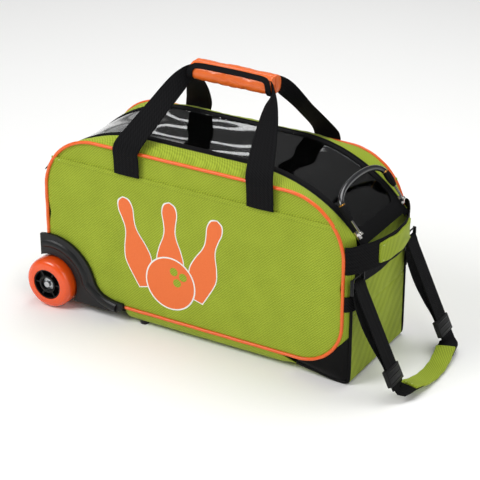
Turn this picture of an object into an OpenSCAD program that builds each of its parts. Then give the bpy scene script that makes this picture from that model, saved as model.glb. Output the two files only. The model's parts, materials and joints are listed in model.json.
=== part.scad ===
// Wheeled tote bag for three bowling balls in a row.
// X runs along the bag (wheels at -X, pull strap at +X), Y across it (front at -Y), Z up from the floor.
// Bag coordinates have x = 0 at the middle of the body; in_frame() moves them to the middle of the whole object.

/* [Bag body] */
// Width between the outer faces of the front and back panels
body_w = 240; // [236:1:248]
// Length between the centres of the piping at the two ends
body_l = 640; // [636:1:660]
// Height of the piping along the top
piping_top = 362; // [350:1:370]
// Height of the piping along the bottom
piping_bottom = 33; // [30:1:36]
// Radius of the piping at the upper corners of the panels
corner_r = 115; // [105:1:120]
// Radius of the piping at the lower corners of the panels
corner_low_r = 90; // [85:1:95]
// Diameter of the piping
piping_d = 6.5; // [5:0.5:7]
// Thickness of one fabric layer with its foam
panel_t = 2.4; // [2:0.1:2.4]
// Height of the seam where the outer pocket panel ends
seam_z = 316; // [300:1:325]

/* [Lid] */
// Height of the lid at its crown
lid_top = 380; // [374:1:386]
// Half length of the flat crown
crown_half = 120; // [110:1:130]
// Radius of the lid's curved ends
lid_r = 281; // [270:1:285]
// Half width of the clear window
window_half_w = 73; // [65:1:75]
// Half width of the lid with its binding
lid_half_w = 82.5; // [80:0.5:84]
// Height of the lower edge of the lid's ends
lid_end_z = 272; // [271:1:275]

/* [Wheels] */
// Diameter of a wheel
wheel_d = 102; // [98:1:104]
// Width of a wheel
wheel_w = 50; // [46:1:50]
// X of the wheel axles
wheel_x = -311; // [-313:1:-309]
// Distance from the middle plane to a wheel's outer face
wheel_face_y = 147.5; // [146:0.5:149]
// Diameter of an axle
axle_d = 12; // [10:1:12]
// Outer diameter of a wheel bearing
bearing_d = 28; // [26:1:28]
// Width of a wheel bearing
bearing_w = 8; // [7:1:8]

/* [Wheel housings] */
// Outer radius of the moulded arch
arch_r = 100; // [96:1:102]
// Radius of the wheel well
well_r = 57; // [55:0.5:58]
// Thickness of the moulded walls
wall_t = 3; // [2.5:0.5:3.5]

/* [Carry handles] */
// Width of the handle webbing
handle_w = 55; // [45:1:56]
// X of the middle of the left and the right legs
handle_x = [-130.5, 153.5];
// X of the two ends of the grip wrap
grip_x = [-57, 114];
// Height of the middle of the grip
grip_z = 501; // [495:1:505]
// Radius of the rolled grip
grip_r = 19; // [17:1:20]

/* [Pull strap] */
// Width of the pull strap's webbing
strap_w = 38; // [30:1:38]
// Reach of the strap from the middle of the body, as it rests on the floor
strap_reach = 465; // [460:1:470]
// Slope of the strap's legs below the horizontal
strap_slope = 65; // [64:1:66]
// Distance from the middle plane to a leg of the strap
strap_y = 105; // [103:1:106]

/* [Hidden] */
$fn = 64;

lime = "#9cc02c";
orange = "#f07030";
black = "#1a1a1c";
charcoal = "#34363a";
silver = "#c0c2c6";

gap = 0.3;                        // clearance between pieces of different bodies
half_w = body_w / 2;
half_l = body_l / 2;
piping_r = piping_d / 2;
wheel_r = wheel_d / 2;
shift_x = -(wheel_x - wheel_r + strap_reach) / 2;

// centres of the panel's upper and lower corner arcs
corner_x = half_l - corner_r;
corner_z1 = piping_top - corner_r;
corner_x0 = half_l - corner_low_r;
corner_z0 = piping_bottom + corner_low_r;

// ends of the bag
end_x = half_l + 8;               // inner face of the end panels
end_t = 3;
end_flat_y = 104;                 // half width of the flat middle of an end panel
inner_y = half_w - 3.6;           // where the end panels and gussets meet the side panels
end_top_z = 268;
guard_top_z = 148;                // top of the corner guards
gusset_end_z = end_top_z + 1.8;
floor_z = 14;                     // underside of the bag
board_z = floor_z + 3.4;
board_t = 4.6;

// lid arcs
arc_z = lid_top - lid_r;
lid_end_x = end_x;
tape_y = 90;                      // outer edge of the zip tape

// wheels
wheel_z = wheel_r;
wheel_in_y = wheel_face_y - wheel_w;
well_in_y = wheel_in_y - 5.5;     // outer face of the well's inner wall
housing_y = half_w + 1.2;         // inner face of the housing's flange
housing_z = 20;                   // lower edge of the housing
housing_x = -336;                 // end face of the housing
bore_clear = 0.05;
tyre_in_r = wheel_r - 20;

// carry handles
fold_y = half_w + 8.2;            // fold line of the handles
fold_z = piping_top + 6;

// zip sliders sit at the foot of the lid's curved end
slider_angle = 42.5;
slider_pin_r = lid_r + 9;
pull_pin_x = crown_half + slider_pin_r * cos(slider_angle);
pull_pin_z = arc_z + slider_pin_r * sin(slider_angle);
pull_lean = 130;
pull_reach = 85;
pull_tube_start = 57;
pull_half_w = 84;
pull_drop = pull_reach - pull_tube_start;
pull_arc_r = (pull_half_w * pull_half_w + pull_drop * pull_drop) / (2 * pull_drop);
pull_arc_a = asin(pull_half_w / pull_arc_r);

// pull strap
ring_x = 341;
ring_z = 208;
bar_r = 2.5;
leg_t = 4;
leg_len = 224;
adjuster_s = 180;                 // distance of an adjuster from the ring's bar
band_sag = 16;
band_top = 7;
band_x = strap_reach - strap_w / 2;
band_r = (strap_y * strap_y + band_sag * band_sag) / (2 * band_sag);
sleeve_half = 76;

// ---------------------------------------------------------------- helpers

module in_frame() translate([shift_x, 0, 0]) children();

module back() in_frame() mirror([0, 1, 0]) children();

module both() {
    children();
    mirror([0, 1, 0]) children();
}

// a slab drawn in X and Z, with its outer face at y = -y_out
module upright(y_out, t) translate([0, t - y_out, 0]) rotate([90, 0, 0]) linear_extrude(t) children();

// a slab drawn in X and Z that runs from -half to +half in Y
module across(half) upright(half, 2 * half) children();

module box(lo, hi) translate(lo) cube([hi[0] - lo[0], hi[1] - lo[1], hi[2] - lo[2]]);

module rect(x0, y0, x1, y1) translate([x0, y0]) square([x1 - x0, y1 - y0]);

module rounded_rect(x0, z0, x1, z1, r) {
    rect(x0 + r, z0, x1 - r, z1);
    rect(x0, z0 + r, x1, z1 - r);
    for (x = [x0 + r, x1 - r], z = [z0 + r, z1 - r]) translate([x, z]) circle(r);
}

// points along an arc in X and Z
function arc(cx, cz, r, a0, a1, n) =
    [for (i = [0:n]) let (a = a0 + (a1 - a0) * i / n) [cx + r * cos(a), cz + r * sin(a)]];

// moves a point of an edge towards the arc centres at +-cx, cz by t
function inward(p, cx, cz, t) =
    let (dx = p[0] - max(-cx, min(cx, p[0])), dz = p[1] - min(cz, p[1]), l = norm([dx, dz]))
    [p[0] - t * dx / l, p[1] - t * dz / l];

function at_y(points, y) = [for (p = points) [p[0], y, p[1]]];

// a closed skin between four rails of equal length
module skin(rails) {
    n = len(rails[0]);
    points = [for (r = rails, p = r) p];
    sides = [for (k = [0:3], i = [0:n - 2]) let (a = k * n + i, b = ((k + 1) % 4) * n + i)
        each [[a, b, b + 1], [a, b + 1, a + 1]]];
    ends = [[0, 2 * n, n], [0, 3 * n, 2 * n],
        [n - 1, 2 * n - 1, 3 * n - 1], [n - 1, 3 * n - 1, 4 * n - 1]];
    polyhedron(points, concat(sides, ends), 6);
}

// ---------------------------------------------------------------- bag body

module panel_outline(inset) difference() {
    union() {
        rounded_rect(-half_l + inset, corner_z0, half_l - inset, piping_top - inset, corner_r - inset);
        rounded_rect(-half_l + inset, piping_bottom + inset, half_l - inset, corner_z1,
            corner_low_r - inset);
    }
    translate([wheel_x, wheel_z]) circle(well_r + wall_t + 2);
    rect(-half_l - 1, 0, wheel_x, wheel_z);
}

module side_panel() color(lime)
    upright(half_w - panel_t, 1.4) panel_outline(piping_r + 0.2);

module pocket_panel() color(lime)
    upright(half_w, panel_t - 0.1) intersection() {
        panel_outline(piping_r + 0.2);
        rect(-half_l, 0, half_l, seam_z);
    }

top_edge = concat(
    [[-318.2, gusset_end_z]], arc(-corner_x, corner_z1, corner_r, 160, 90, 7),
    arc(corner_x, corner_z1, corner_r, 90, 20, 7), [[318.2, gusset_end_z]]);
zip_edge = concat(
    [[-330, gusset_end_z]], arc(-crown_half, arc_z, lid_r, 180 - slider_angle, 90, 7),
    arc(crown_half, arc_z, lid_r, 90, slider_angle, 7), [[330, gusset_end_z]]);

module top_gusset() color(lime) skin([
    at_y(top_edge, -inner_y),
    at_y([for (p = top_edge) inward(p, corner_x, corner_z1, panel_t)], -inner_y),
    at_y([for (p = zip_edge) inward(p, crown_half, arc_z, panel_t)], -tape_y - 0.2),
    at_y(zip_edge, -tape_y - 0.2)]);

// plan of an end panel whose corners turn in to the side panels
module end_plan() {
    outer = [[end_x, -end_flat_y], [half_l + 1, -inner_y]];
    polygon([outer[0], outer[1], outer[1] + [2.4, 2.4], outer[0] + [end_t, 0],
        [end_x + end_t, end_flat_y], [half_l + 3.4, inner_y - 2.4], [half_l + 1, inner_y],
        [end_x, end_flat_y]]);
}

module right_end_panel() color(lime) {
    translate([0, 0, guard_top_z]) linear_extrude(end_top_z - guard_top_z) end_plan();
    low_half = guard_rim_y - guard_t - gap;
    box([end_x, -low_half, floor_z + 4], [end_x + end_t, low_half, guard_top_z]);
}

module left_end_panel() color(lime)
    translate([0, 0, wheel_z + well_r + wall_t + 0.5]) mirror([1, 0, 0])
        linear_extrude(end_top_z - wheel_z - well_r - wall_t - 0.5) end_plan();

// the floor narrows by 3 between the corner guards
module floor_plan(edge) {
    rect(-250, -edge, 200, edge);
    rect(199, -edge + 3, 322, edge - 3);
    rect(-327, -well_in_y + wall_t + 1, -250, well_in_y - wall_t - 1);
}

module bottom_panel() color(lime) {
    translate([0, 0, floor_z]) linear_extrude(3) floor_plan(111);
    both() box([-142, -half_w + 5, floor_z + 1], [200, -111, piping_bottom - piping_r - 0.3]);
}

module base_board() color(charcoal)
    translate([0, 0, board_z]) linear_extrude(board_t) floor_plan(109);

module bent_pipe(a, r) rotate([90, 0, 0]) rotate([0, 0, a]) rotate_extrude(angle = 90)
    translate([r, 0]) circle(piping_r);

module straight_pipe(x, z, l, along) translate([x, 0, z]) rotate([0, along, 0])
    cylinder(h = l, r = piping_r);

module piping() color(orange) translate([0, -half_w, 0]) {
    straight_pipe(-half_l, 151.5, corner_z1 - 151.5, 0);
    translate([-corner_x, 0, corner_z1]) bent_pipe(90, corner_r);
    straight_pipe(-corner_x, piping_top, 2 * corner_x, 90);
    translate([corner_x, 0, corner_z1]) bent_pipe(0, corner_r);
    straight_pipe(half_l, corner_z0, corner_z1 - corner_z0, 0);
    translate([corner_x0, 0, corner_z0]) bent_pipe(270, corner_low_r);
    straight_pipe(-146.5, piping_bottom, corner_x0 + 146.5, 90);
}

// the lid's profile as a band from radius r0 to radius r1
module lid_shape(r) intersection() {
    union() {
        for (x = [-crown_half, crown_half]) translate([x, arc_z]) circle(r, $fn = 180);
        rect(-crown_half, arc_z, crown_half, arc_z + r);
    }
    rect(-lid_end_x + lid_r - r, lid_end_z, lid_end_x - lid_r + r, arc_z + r + 1);
}

module lid_band(r0, r1) difference() {
    lid_shape(r1);
    translate([0, -1]) lid_shape(r0);
    lid_shape(r0);
}

module zipper_tape() color(black)
    upright(tape_y, tape_y - lid_half_w - gap) lid_band(lid_r - 2, lid_r);

module zipper_end_tape() color(black)
    box([end_x - 2, -lid_half_w, end_top_z + 0.2], [end_x + end_t, lid_half_w, lid_end_z - gap]);

module feet() color(black)
    both() for (p = [[-115, 100], [225, 80]]) translate(p) cylinder(h = floor_z, r = 9);

// corner guard: a sheet from the lower corner of the piping to the square corner of the base
guard_t = 2.2;
guard_rim_y = end_flat_y + 7.5;
guard_edge = concat([[half_l - 1, guard_top_z]], arc(corner_x0, corner_z0, corner_low_r - 1, 0, -90, 7));
guard_rim = [[end_x + end_t, guard_top_z], [end_x + end_t, 105], [end_x + end_t, 65],
    [end_x + end_t, 25], [end_x + end_t, 3], [end_x - 6, 0], [305, 2], [270, 8], [corner_x0, 18]];

module corner_guard() color(black) skin([
    at_y(guard_edge, -inner_y),
    at_y(guard_edge, -inner_y + guard_t),
    at_y(guard_rim, -guard_rim_y + guard_t),
    at_y(guard_rim, -guard_rim_y)]);

module end_binding() color(black)
    both() box([end_x + end_t + 0.2, -end_flat_y, 20],
        [end_x + end_t + 3, -end_flat_y + 5, guard_top_z]);

// ---------------------------------------------------------------- wheel housing

module housing_clip() rect(housing_x, housing_z, 0, 200);

module housing_outline() {
    tail_z = 43;
    fillet_r = 45;
    fillet_z = tail_z + fillet_r;
    fillet_x = wheel_x + sqrt(pow(arch_r + fillet_r, 2) - pow(fillet_z - wheel_z, 2));
    difference() {
        intersection() {
            union() {
                translate([wheel_x, wheel_z]) circle(arch_r);
                difference() {
                    rect(wheel_x + well_r, housing_z, fillet_x, fillet_z - 10);
                    translate([fillet_x, fillet_z]) circle(fillet_r);
                }
                polygon([[fillet_x - 1, housing_z], [fillet_x - 1, tail_z], [-148, tail_z - 2],
                    [-147, 32], [-163, housing_z]]);
            }
            housing_clip();
        }
        translate([wheel_x, wheel_z]) circle(well_r);
    }
}

module wheel_housing() color(charcoal) {
    upright(housing_y + 6, 6) housing_outline();
    upright(housing_y + 0.1, housing_y + 0.1 - well_in_y) intersection() {
        housing_clip();
        translate([wheel_x, wheel_z]) difference() {
            circle(well_r + wall_t);
            circle(well_r);
        }
    }
    upright(well_in_y, wall_t) difference() {
        intersection() {
            housing_clip();
            translate([wheel_x, wheel_z]) circle(well_r + wall_t);
        }
        translate([wheel_x, wheel_z]) circle(axle_d / 2 + bore_clear);
    }
}

module kick_plate() color(charcoal)
    box([housing_x + 2, -well_in_y + wall_t + 0.5, housing_z],
        [housing_x + 6, well_in_y - wall_t - 0.5, wheel_z + well_r + wall_t]);

module at_wheel(y) translate([wheel_x, -y, wheel_z]) rotate([-90, 0, 0]) children();

module axle() color(silver) {
    at_wheel(wheel_face_y - 0.5) cylinder(h = wheel_w + 9.5, r = axle_d / 2);
    at_wheel(well_in_y - wall_t) cylinder(h = 6, r = 10, $fn = 6);
}

module axle_nut() color(silver) at_wheel(wheel_face_y - 0.2) difference() {
    cylinder(h = 7, r = 10.4, $fn = 6);
    translate([0, 0, -1]) cylinder(h = 9, r = axle_d / 2 + bore_clear);
}

bearing_y0 = wheel_face_y - 7.5;              // outer face of the outer bearing
bearing_y1 = wheel_in_y + 7.5 + bearing_w;    // outer face of the inner bearing

module spacer(y0, y1) at_wheel(y0) difference() {
    cylinder(h = y0 - y1, r = axle_d / 2 + 2.5);
    translate([0, 0, -1]) cylinder(h = y0 - y1 + 2, r = axle_d / 2 + bore_clear);
}

module axle_spacers() color(silver) both() {
    spacer(bearing_y0 - bearing_w - gap, bearing_y1 + gap);
    spacer(bearing_y1 - bearing_w - gap, well_in_y);
}

module housing_rivets() color(silver) both()
    for (a = [0, 45, 90]) translate([wheel_x + 45 * cos(a), -well_in_y + wall_t, wheel_z + 45 * sin(a)])
        rotate([-90, 0, 0]) cylinder(h = 2, r = 4);

// ---------------------------------------------------------------- wheels

module tyre() color(orange) at_wheel(wheel_face_y) rotate_extrude() {
    lip = 6;
    difference() {
        rect(tyre_in_r, 0, wheel_r, wheel_w);
        for (y = [0, wheel_w - lip]) rect(wheel_r - lip, y, wheel_r + 1, y + lip);
    }
    for (y = [lip, wheel_w - lip]) intersection() {
        translate([wheel_r - lip, y]) circle(lip);
        rect(wheel_r - lip, 0, wheel_r, wheel_w);
    }
}

module hub() color(black) {
    boss_r = bearing_d / 2 + 4;
    at_wheel(wheel_face_y - 1.5) difference() {
        cylinder(h = wheel_w - 3, r = tyre_in_r);
        translate([0, 0, -1]) cylinder(h = wheel_w, r = bearing_d / 2 - 2.5);
        for (y = [-1, 34]) translate([0, 0, y]) difference() {
            cylinder(h = 14, r = tyre_in_r - 2.5);
            translate([0, 0, -1]) cylinder(h = 16, r = boss_r);
        }
        translate([0, 0, -1]) cylinder(h = bearing_w + 7, r = bearing_d / 2);
        translate([0, 0, wheel_w - 3 - 6 - bearing_w]) cylinder(h = bearing_w + 7, r = bearing_d / 2);
    }
    at_wheel(wheel_face_y - 4) for (a = [0:60:300]) rotate([0, 0, a])
        translate([boss_r - 0.5, -1.5, 0]) cube([tyre_in_r - boss_r - 1.5, 3, 8.6]);
}

module ring_of(y) at_wheel(y) difference() {
    cylinder(h = bearing_w, r = bearing_d / 2);
    translate([0, 0, -1]) cylinder(h = bearing_w + 2, r = axle_d / 2 + bore_clear);
}

module bearings() color(silver) {
    ring_of(bearing_y0);
    ring_of(bearing_y1);
}

// ---------------------------------------------------------------- carry handles

module handle_anchor() color(black)
    for (x = handle_x) box([x - handle_w / 2, -half_w - 5.8, seam_z + 1],
        [x + handle_w / 2, -half_w - 3.4, piping_top + 1]);

// one leg, from the fold line to the end face of the grip at grip_end; side is -1 or 1
module handle_leg(x, grip_end, side) {
    mid_z = 450;
    mid_y = -58;
    mid_x = x + (grip_end - x) * 0.45;
    mid_half = 21;
    hull() {
        box([x - handle_w / 2, -fold_y - 1.2, fold_z + 2], [x + handle_w / 2, -fold_y + 1.2, fold_z + 4]);
        box([mid_x - mid_half, mid_y - 3, mid_z], [mid_x + mid_half, mid_y + 1, mid_z + 2]);
    }
    hull() {
        box([mid_x - mid_half, mid_y - 3, mid_z], [mid_x + mid_half, mid_y + 1, mid_z + 2]);
        translate([grip_end + side * 1.2, -13, grip_z])
            cube([2, 15, 28], center = true);
    }
}

module handle_webbing() color(black) {
    handle_leg(handle_x[0], grip_x[0], -1);
    handle_leg(handle_x[1], grip_x[1], 1);
}

module grip() color(orange) translate([grip_x[0], 0, grip_z]) rotate([0, 90, 0])
    linear_extrude(grip_x[1] - grip_x[0]) intersection() {
        translate([0, -5]) circle(grip_r);
        rect(-30, -40, 30, -gap);
    }

// ---------------------------------------------------------------- lid, zip and its pull

end_band_z = 297;

module window_lid() color("#c8ccd0", 0.4) across(window_half_w) intersection() {
    lid_band(lid_r - 1.8, lid_r - 0.4);
    rect(-half_l - 20, end_band_z, half_l + 20, lid_top + 20);
}

module lid_binding() color(black) {
    both() upright(lid_half_w, lid_half_w - window_half_w) lid_band(lid_r - 2.5, lid_r);
    across(window_half_w) intersection() {
        lid_band(lid_r - 2.5, lid_r);
        rect(-half_l - 20, 0, half_l + 20, end_band_z);
    }
}

module on_arc(r) translate([crown_half, 0, arc_z]) rotate([0, -slider_angle, 0]) translate([r, 0, 0])
    children();

module zip_sliders() color(silver) both() {
    on_arc(lid_r + gap) box([0, -90, -8], [4, -80, 8]);
    on_arc(lid_r + gap) for (y = [-90, -82]) box([3.5, y, -3], [slider_pin_r - lid_r + 2, y + 2, 3]);
    translate([pull_pin_x, -90, pull_pin_z]) rotate([-90, 0, 0]) cylinder(h = 10, r = 1.5);
}

module in_pull() translate([pull_pin_x, 0, pull_pin_z]) rotate([0, -pull_lean, 0]) children();

module pull_tabs() color(silver) in_pull() both() difference() {
    union() {
        translate([0, -87.5, 0]) rotate([-90, 0, 0]) cylinder(h = 5, r = 3.6);
        box([0, -87.5, -1], [30, -82.5, 1]);
    }
    translate([0, -90, 0]) rotate([-90, 0, 0]) cylinder(h = 10, r = 1.5 + bore_clear);
}

module pull_boots() color(black) in_pull() both()
    box([30.2, -91, -5], [pull_tube_start, -79, 5]);

module pull_tube() color(charcoal) in_pull() intersection() {
    translate([pull_reach - pull_arc_r, 0, 0]) rotate([0, 0, -pull_arc_a])
        rotate_extrude(angle = 2 * pull_arc_a) translate([pull_arc_r, 0]) circle(5.5);
    box([pull_tube_start + 0.2, -100, -10], [pull_reach + 10, 100, 10]);
}

// ---------------------------------------------------------------- end handle and pull strap

end_arc_r = 198;                  // radius of the end handle in plan
end_arc_x = 369 - end_arc_r;

module end_arc(r0, r1, y0, y1) translate([end_arc_x, 0]) intersection() {
    difference() {
        circle(r1, $fn = 180);
        circle(r0, $fn = 180);
    }
    rect(0, y0, end_arc_r + 10, y1);
}

module end_handle_webbing() color(black) both() {
    translate([0, 0, 226]) linear_extrude(54) {
        end_arc(end_arc_r - 2.4, end_arc_r, -108, -60.2);
        polygon([[337.1, -108], [334.6, -108], [325, -117.2], [325.5, -120.6]]);
    }
}

module end_handle_sleeve() color(lime) translate([0, 0, 234]) linear_extrude(38)
    end_arc(end_arc_r - 4.5, end_arc_r + 2.5, -60, 60);

module cross_strap() color(black)
    box([end_x + end_t + 0.4, -98, 206], [end_x + end_t + 3, 98, 223]);

module lower_anchors() color(black) both() translate([0, 0, 152]) linear_extrude(30)
    polygon([[324.6, -117.4], [334.4, -107.6], [334.4, -100], [337, -100], [337, -108.6], [326.4, -119.2]]);

module strap_ring() color(charcoal) {
    inner = strap_y - strap_w / 2 - 1;
    outer = strap_y + strap_w / 2 + 1;
    for (y = [-outer - 2.5, -inner]) box([ring_x - 3, y, 192], [ring_x + 3, y + 2.5, 223]);
    translate([ring_x, -outer - 1, ring_z]) rotate([-90, 0, 0]) cylinder(h = outer - inner + 2, r = bar_r);
    for (z = [193.5, 221]) translate([ring_x - 1, -outer - 1, z]) rotate([-90, 0, 0])
        cylinder(h = outer - inner + 2, r = 1.5);
}

// x runs down a leg of the strap from the ring's bar
module in_leg() translate([ring_x, 0, ring_z]) rotate([0, strap_slope, 0]) children();

module band(r0, r1, half) translate([band_x - band_r, 0, band_top - 4]) linear_extrude(4) intersection() {
    difference() {
        circle(r1, $fn = 180);
        circle(r0, $fn = 180);
    }
    rect(0, -half, r1, half);
}

module strap_leg() difference() {
    union() {
        in_leg() translate([0, -strap_y - strap_w / 2, -leg_t / 2]) cube([leg_len, strap_w, leg_t]);
        in_leg() translate([0, -strap_y - strap_w / 2, 0]) rotate([-90, 0, 0])
            cylinder(h = strap_w, r = bar_r + 2);
    }
    in_leg() translate([0, -strap_y - strap_w, 0]) rotate([-90, 0, 0])
        cylinder(h = 2 * strap_w, r = bar_r + bore_clear);
    box([ring_x, -200, -50], [strap_reach + 20, 0, band_top + 0.3]);
}

module strap_webbing() color(black) {
    both() strap_leg();
    difference() {
        band(band_r - strap_w / 2, band_r + strap_w / 2, strap_y + strap_w / 2 - 1);
        box([ring_x, -sleeve_half - 0.1, -1], [strap_reach + 20, sleeve_half + 0.1, 20]);
    }
}

module strap_grip() color(lime) translate([0, 0, -1.5]) {
    band(band_r - strap_w / 2, band_r + strap_w / 2, sleeve_half);
    translate([0, 0, 3]) band(band_r - strap_w / 2, band_r + strap_w / 2, sleeve_half);
}

module adjuster() color(charcoal) in_leg() translate([adjuster_s, -strap_y, 0]) difference() {
    cube([32, strap_w + 10, 9.6], center = true);
    cube([34, strap_w + 2 * gap, leg_t + 2 * gap], center = true);
}

// ---------------------------------------------------------------- inside

module cradle(x, length, half) difference() {
    box([x - length / 2, -half, board_z + board_t + 0.2], [x + length / 2, half, 42]);
    translate([x, 0, 138]) sphere(r = 108, $fn = 96);
}

module ball_cradles() color(charcoal) {
    cradle(-214, 196, 84);
    cradle(0, 196, 100);
    cradle(214, 196, 100);
}

module divider(x) color("#6a6c70") translate([x, 0, 0]) rotate([0, 90, 0]) translate([0, 0, -4])
    linear_extrude(8) rounded_rect(-250, -112, -board_z - board_t - 0.2, 112, 20);

// ---------------------------------------------------------------- the assembly

in_frame() side_panel();  // front_panel
back() side_panel();  // back_panel
in_frame() pocket_panel();  // front_pocket_panel
back() pocket_panel();  // back_pocket_panel
in_frame() top_gusset();  // top_gusset_front
back() top_gusset();  // top_gusset_back
in_frame() left_end_panel();
in_frame() right_end_panel();
in_frame() bottom_panel();
in_frame() base_board();
in_frame() piping();  // front_piping
back() piping();  // back_piping
in_frame() zipper_tape();  // zipper_tape_front
back() zipper_tape();  // zipper_tape_back
in_frame() zipper_end_tape();
in_frame() wheel_housing();  // wheel_housing_front
back() wheel_housing();  // wheel_housing_back
in_frame() kick_plate();
in_frame() axle();  // axle_front
back() axle();  // axle_back
in_frame() both() axle_nut();  // axle_nuts
in_frame() axle_spacers();
in_frame() housing_rivets();
in_frame() feet();
in_frame() corner_guard();  // corner_guard_front
back() corner_guard();  // corner_guard_back
in_frame() end_binding();
in_frame() end_handle_webbing();
in_frame() end_handle_sleeve();
in_frame() cross_strap();
in_frame() lower_anchors();
in_frame() strap_ring();  // strap_ring_front
back() strap_ring();  // strap_ring_back
in_frame() handle_anchor();  // handle_anchor_front
back() handle_anchor();  // handle_anchor_back
in_frame() ball_cradles();
in_frame() divider(-107);  // divider_left
in_frame() divider(107);  // divider_right
in_frame() tyre();  // tyre_front
in_frame() hub();  // hub_front
in_frame() bearings();  // bearings_front
back() tyre();  // tyre_back
back() hub();  // hub_back
back() bearings();  // bearings_back
in_frame() handle_webbing();  // handle_webbing_front
in_frame() grip();  // grip_front
back() handle_webbing();  // handle_webbing_back
back() grip();  // grip_back
in_frame() window_lid();
in_frame() lid_binding();
in_frame() zip_sliders();
in_frame() pull_tube();
in_frame() pull_tabs();
in_frame() pull_boots();
in_frame() strap_webbing();
in_frame() strap_grip();
in_frame() adjuster();  // adjuster_front
back() adjuster();  // adjuster_back
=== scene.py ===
# %% [markdown]
# # A wheeled tote for three bowling balls
# The bag is built around a imported CAD model. Its bodies, joints and sizes are fixed, and every piece made
# here rides on one of those bodies, except the handle loops, which are fixed to none. Sizes are millimetres
# in the bag's own coordinates: x = 0 in the middle of the body, the front panel towards -Y and the floor at
# z = 0. `at` turns such a point into the model's metres.

import json
import math

import bpy
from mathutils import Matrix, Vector

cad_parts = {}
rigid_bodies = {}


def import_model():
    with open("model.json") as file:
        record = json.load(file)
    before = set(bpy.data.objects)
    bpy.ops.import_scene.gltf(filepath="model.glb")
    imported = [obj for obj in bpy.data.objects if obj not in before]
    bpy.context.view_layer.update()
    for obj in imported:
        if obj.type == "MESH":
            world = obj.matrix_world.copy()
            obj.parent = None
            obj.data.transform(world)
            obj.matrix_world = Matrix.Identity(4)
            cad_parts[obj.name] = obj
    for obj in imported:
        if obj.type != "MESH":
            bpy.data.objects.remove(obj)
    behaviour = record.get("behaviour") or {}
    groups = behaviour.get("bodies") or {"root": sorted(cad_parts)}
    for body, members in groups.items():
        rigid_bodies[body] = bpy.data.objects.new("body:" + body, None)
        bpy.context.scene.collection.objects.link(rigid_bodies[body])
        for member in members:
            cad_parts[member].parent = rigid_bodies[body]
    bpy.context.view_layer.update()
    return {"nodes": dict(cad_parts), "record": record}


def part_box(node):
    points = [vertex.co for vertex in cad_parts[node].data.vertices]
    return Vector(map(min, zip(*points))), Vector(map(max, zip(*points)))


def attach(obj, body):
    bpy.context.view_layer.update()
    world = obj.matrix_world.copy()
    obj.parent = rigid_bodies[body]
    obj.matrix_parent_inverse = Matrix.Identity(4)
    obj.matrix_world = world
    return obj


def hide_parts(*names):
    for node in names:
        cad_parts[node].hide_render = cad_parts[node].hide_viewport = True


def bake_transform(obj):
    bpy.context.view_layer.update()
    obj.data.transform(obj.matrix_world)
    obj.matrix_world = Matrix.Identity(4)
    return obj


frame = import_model()
nodes = frame["nodes"]
joints = {j["name"]: j for j in frame["record"]["behaviour"]["joints"]}

# %% [markdown]
# ## Measures
# The fixed points come from the model: the piping gives the body's outline, and the joints give the axles
# and folds.

# %% Measures
MM = 0.001
piping_lo, piping_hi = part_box("front_piping")
SHIFT = (piping_lo.x + piping_hi.x) / 2
PIPE_R = 3.25
HALF_W = -(piping_lo.y + piping_hi.y) / 2 / MM
HALF_L = (piping_hi.x - piping_lo.x) / 2 / MM - PIPE_R
TOP_Z = piping_hi.z / MM - PIPE_R
BOTTOM_Z = piping_lo.z / MM + PIPE_R
CORNER_R = 115
WHEEL_Z = joints["wheel_spin_front"]["pos_m"][2] / MM
WHEEL_X = (joints["wheel_spin_front"]["pos_m"][0] - SHIFT) / MM
SEAM_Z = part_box("front_pocket_panel")[1].z / MM
print("half width", round(HALF_W, 1), "half length", round(HALF_L, 1), "shift", round(SHIFT, 4))


def at(x, y, z):
    """A point of the bag, in millimetres, as a point of the model, in metres."""
    return Vector((x * MM + SHIFT, y * MM, z * MM))


# %% [markdown]
# ## Camera, light and floor
# A long lens from above and to the right, as in a catalogue picture. The camera is set by where it looks
# from, so its place is worked out from two angles and a distance.

# %% Camera
LOOK_AZIMUTH = math.radians(30.5)
LOOK_ELEVATION = math.radians(26.3)
LENS_MM = 135
SENSOR_MM = 36
DISTANCE = 3441.6
SIDE_STEP = 33.5
RISE = 29.7
target = at(0, 0, 130)
right = Vector((math.cos(LOOK_AZIMUTH), math.sin(LOOK_AZIMUTH), 0))
forward = Vector((-math.sin(LOOK_AZIMUTH) * math.cos(LOOK_ELEVATION),
                  math.cos(LOOK_AZIMUTH) * math.cos(LOOK_ELEVATION), -math.sin(LOOK_ELEVATION)))
up = right.cross(forward)
camera_data = bpy.data.cameras.new("camera")
camera_data.sensor_width = SENSOR_MM
camera_data.lens = LENS_MM
camera_data.clip_end = 50
camera = bpy.data.objects.new("camera", camera_data)
bpy.context.scene.collection.objects.link(camera)
bpy.context.scene.camera = camera
camera.location = target - forward * DISTANCE * MM + right * SIDE_STEP * MM + up * RISE * MM
camera.rotation_euler = forward.to_track_quat("-Z", "Y").to_euler()

# %% [markdown]
# ### Light and floor
# Large soft lights give a studio's shadows. The sky is bright low down, to keep the floor white, and dark
# above, so that black pieces stay black. A narrow light behind the bag draws the streaks on the clear lid.

# %% Light and floor


def soft_light(name, place, aim, size, watts):
    """A square area light at a place, turned to its aim."""
    data = bpy.data.lights.new(name, "AREA")
    data.size = size
    data.energy = watts
    lamp = bpy.data.objects.new(name, data)
    bpy.context.scene.collection.objects.link(lamp)
    lamp.location = place
    lamp.rotation_euler = (aim - place).to_track_quat("-Z", "Y").to_euler()
    return lamp


middle = at(0, 0, 200)
soft_light("key", Vector((-1.6, -2.2, 2.6)), middle, 1.6, 76)
soft_light("fill", Vector((2.6, -1.6, 1.8)), middle, 2.0, 30)
soft_light("top", Vector((0.2, 0.9, 3.0)), middle, 2.2, 60)
streak = soft_light("streak", Vector((-1.9, 2.0, 1.45)), middle, 1.5, 2.2)
streak.data.shape = "RECTANGLE"
streak.data.size_y = 0.2

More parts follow.
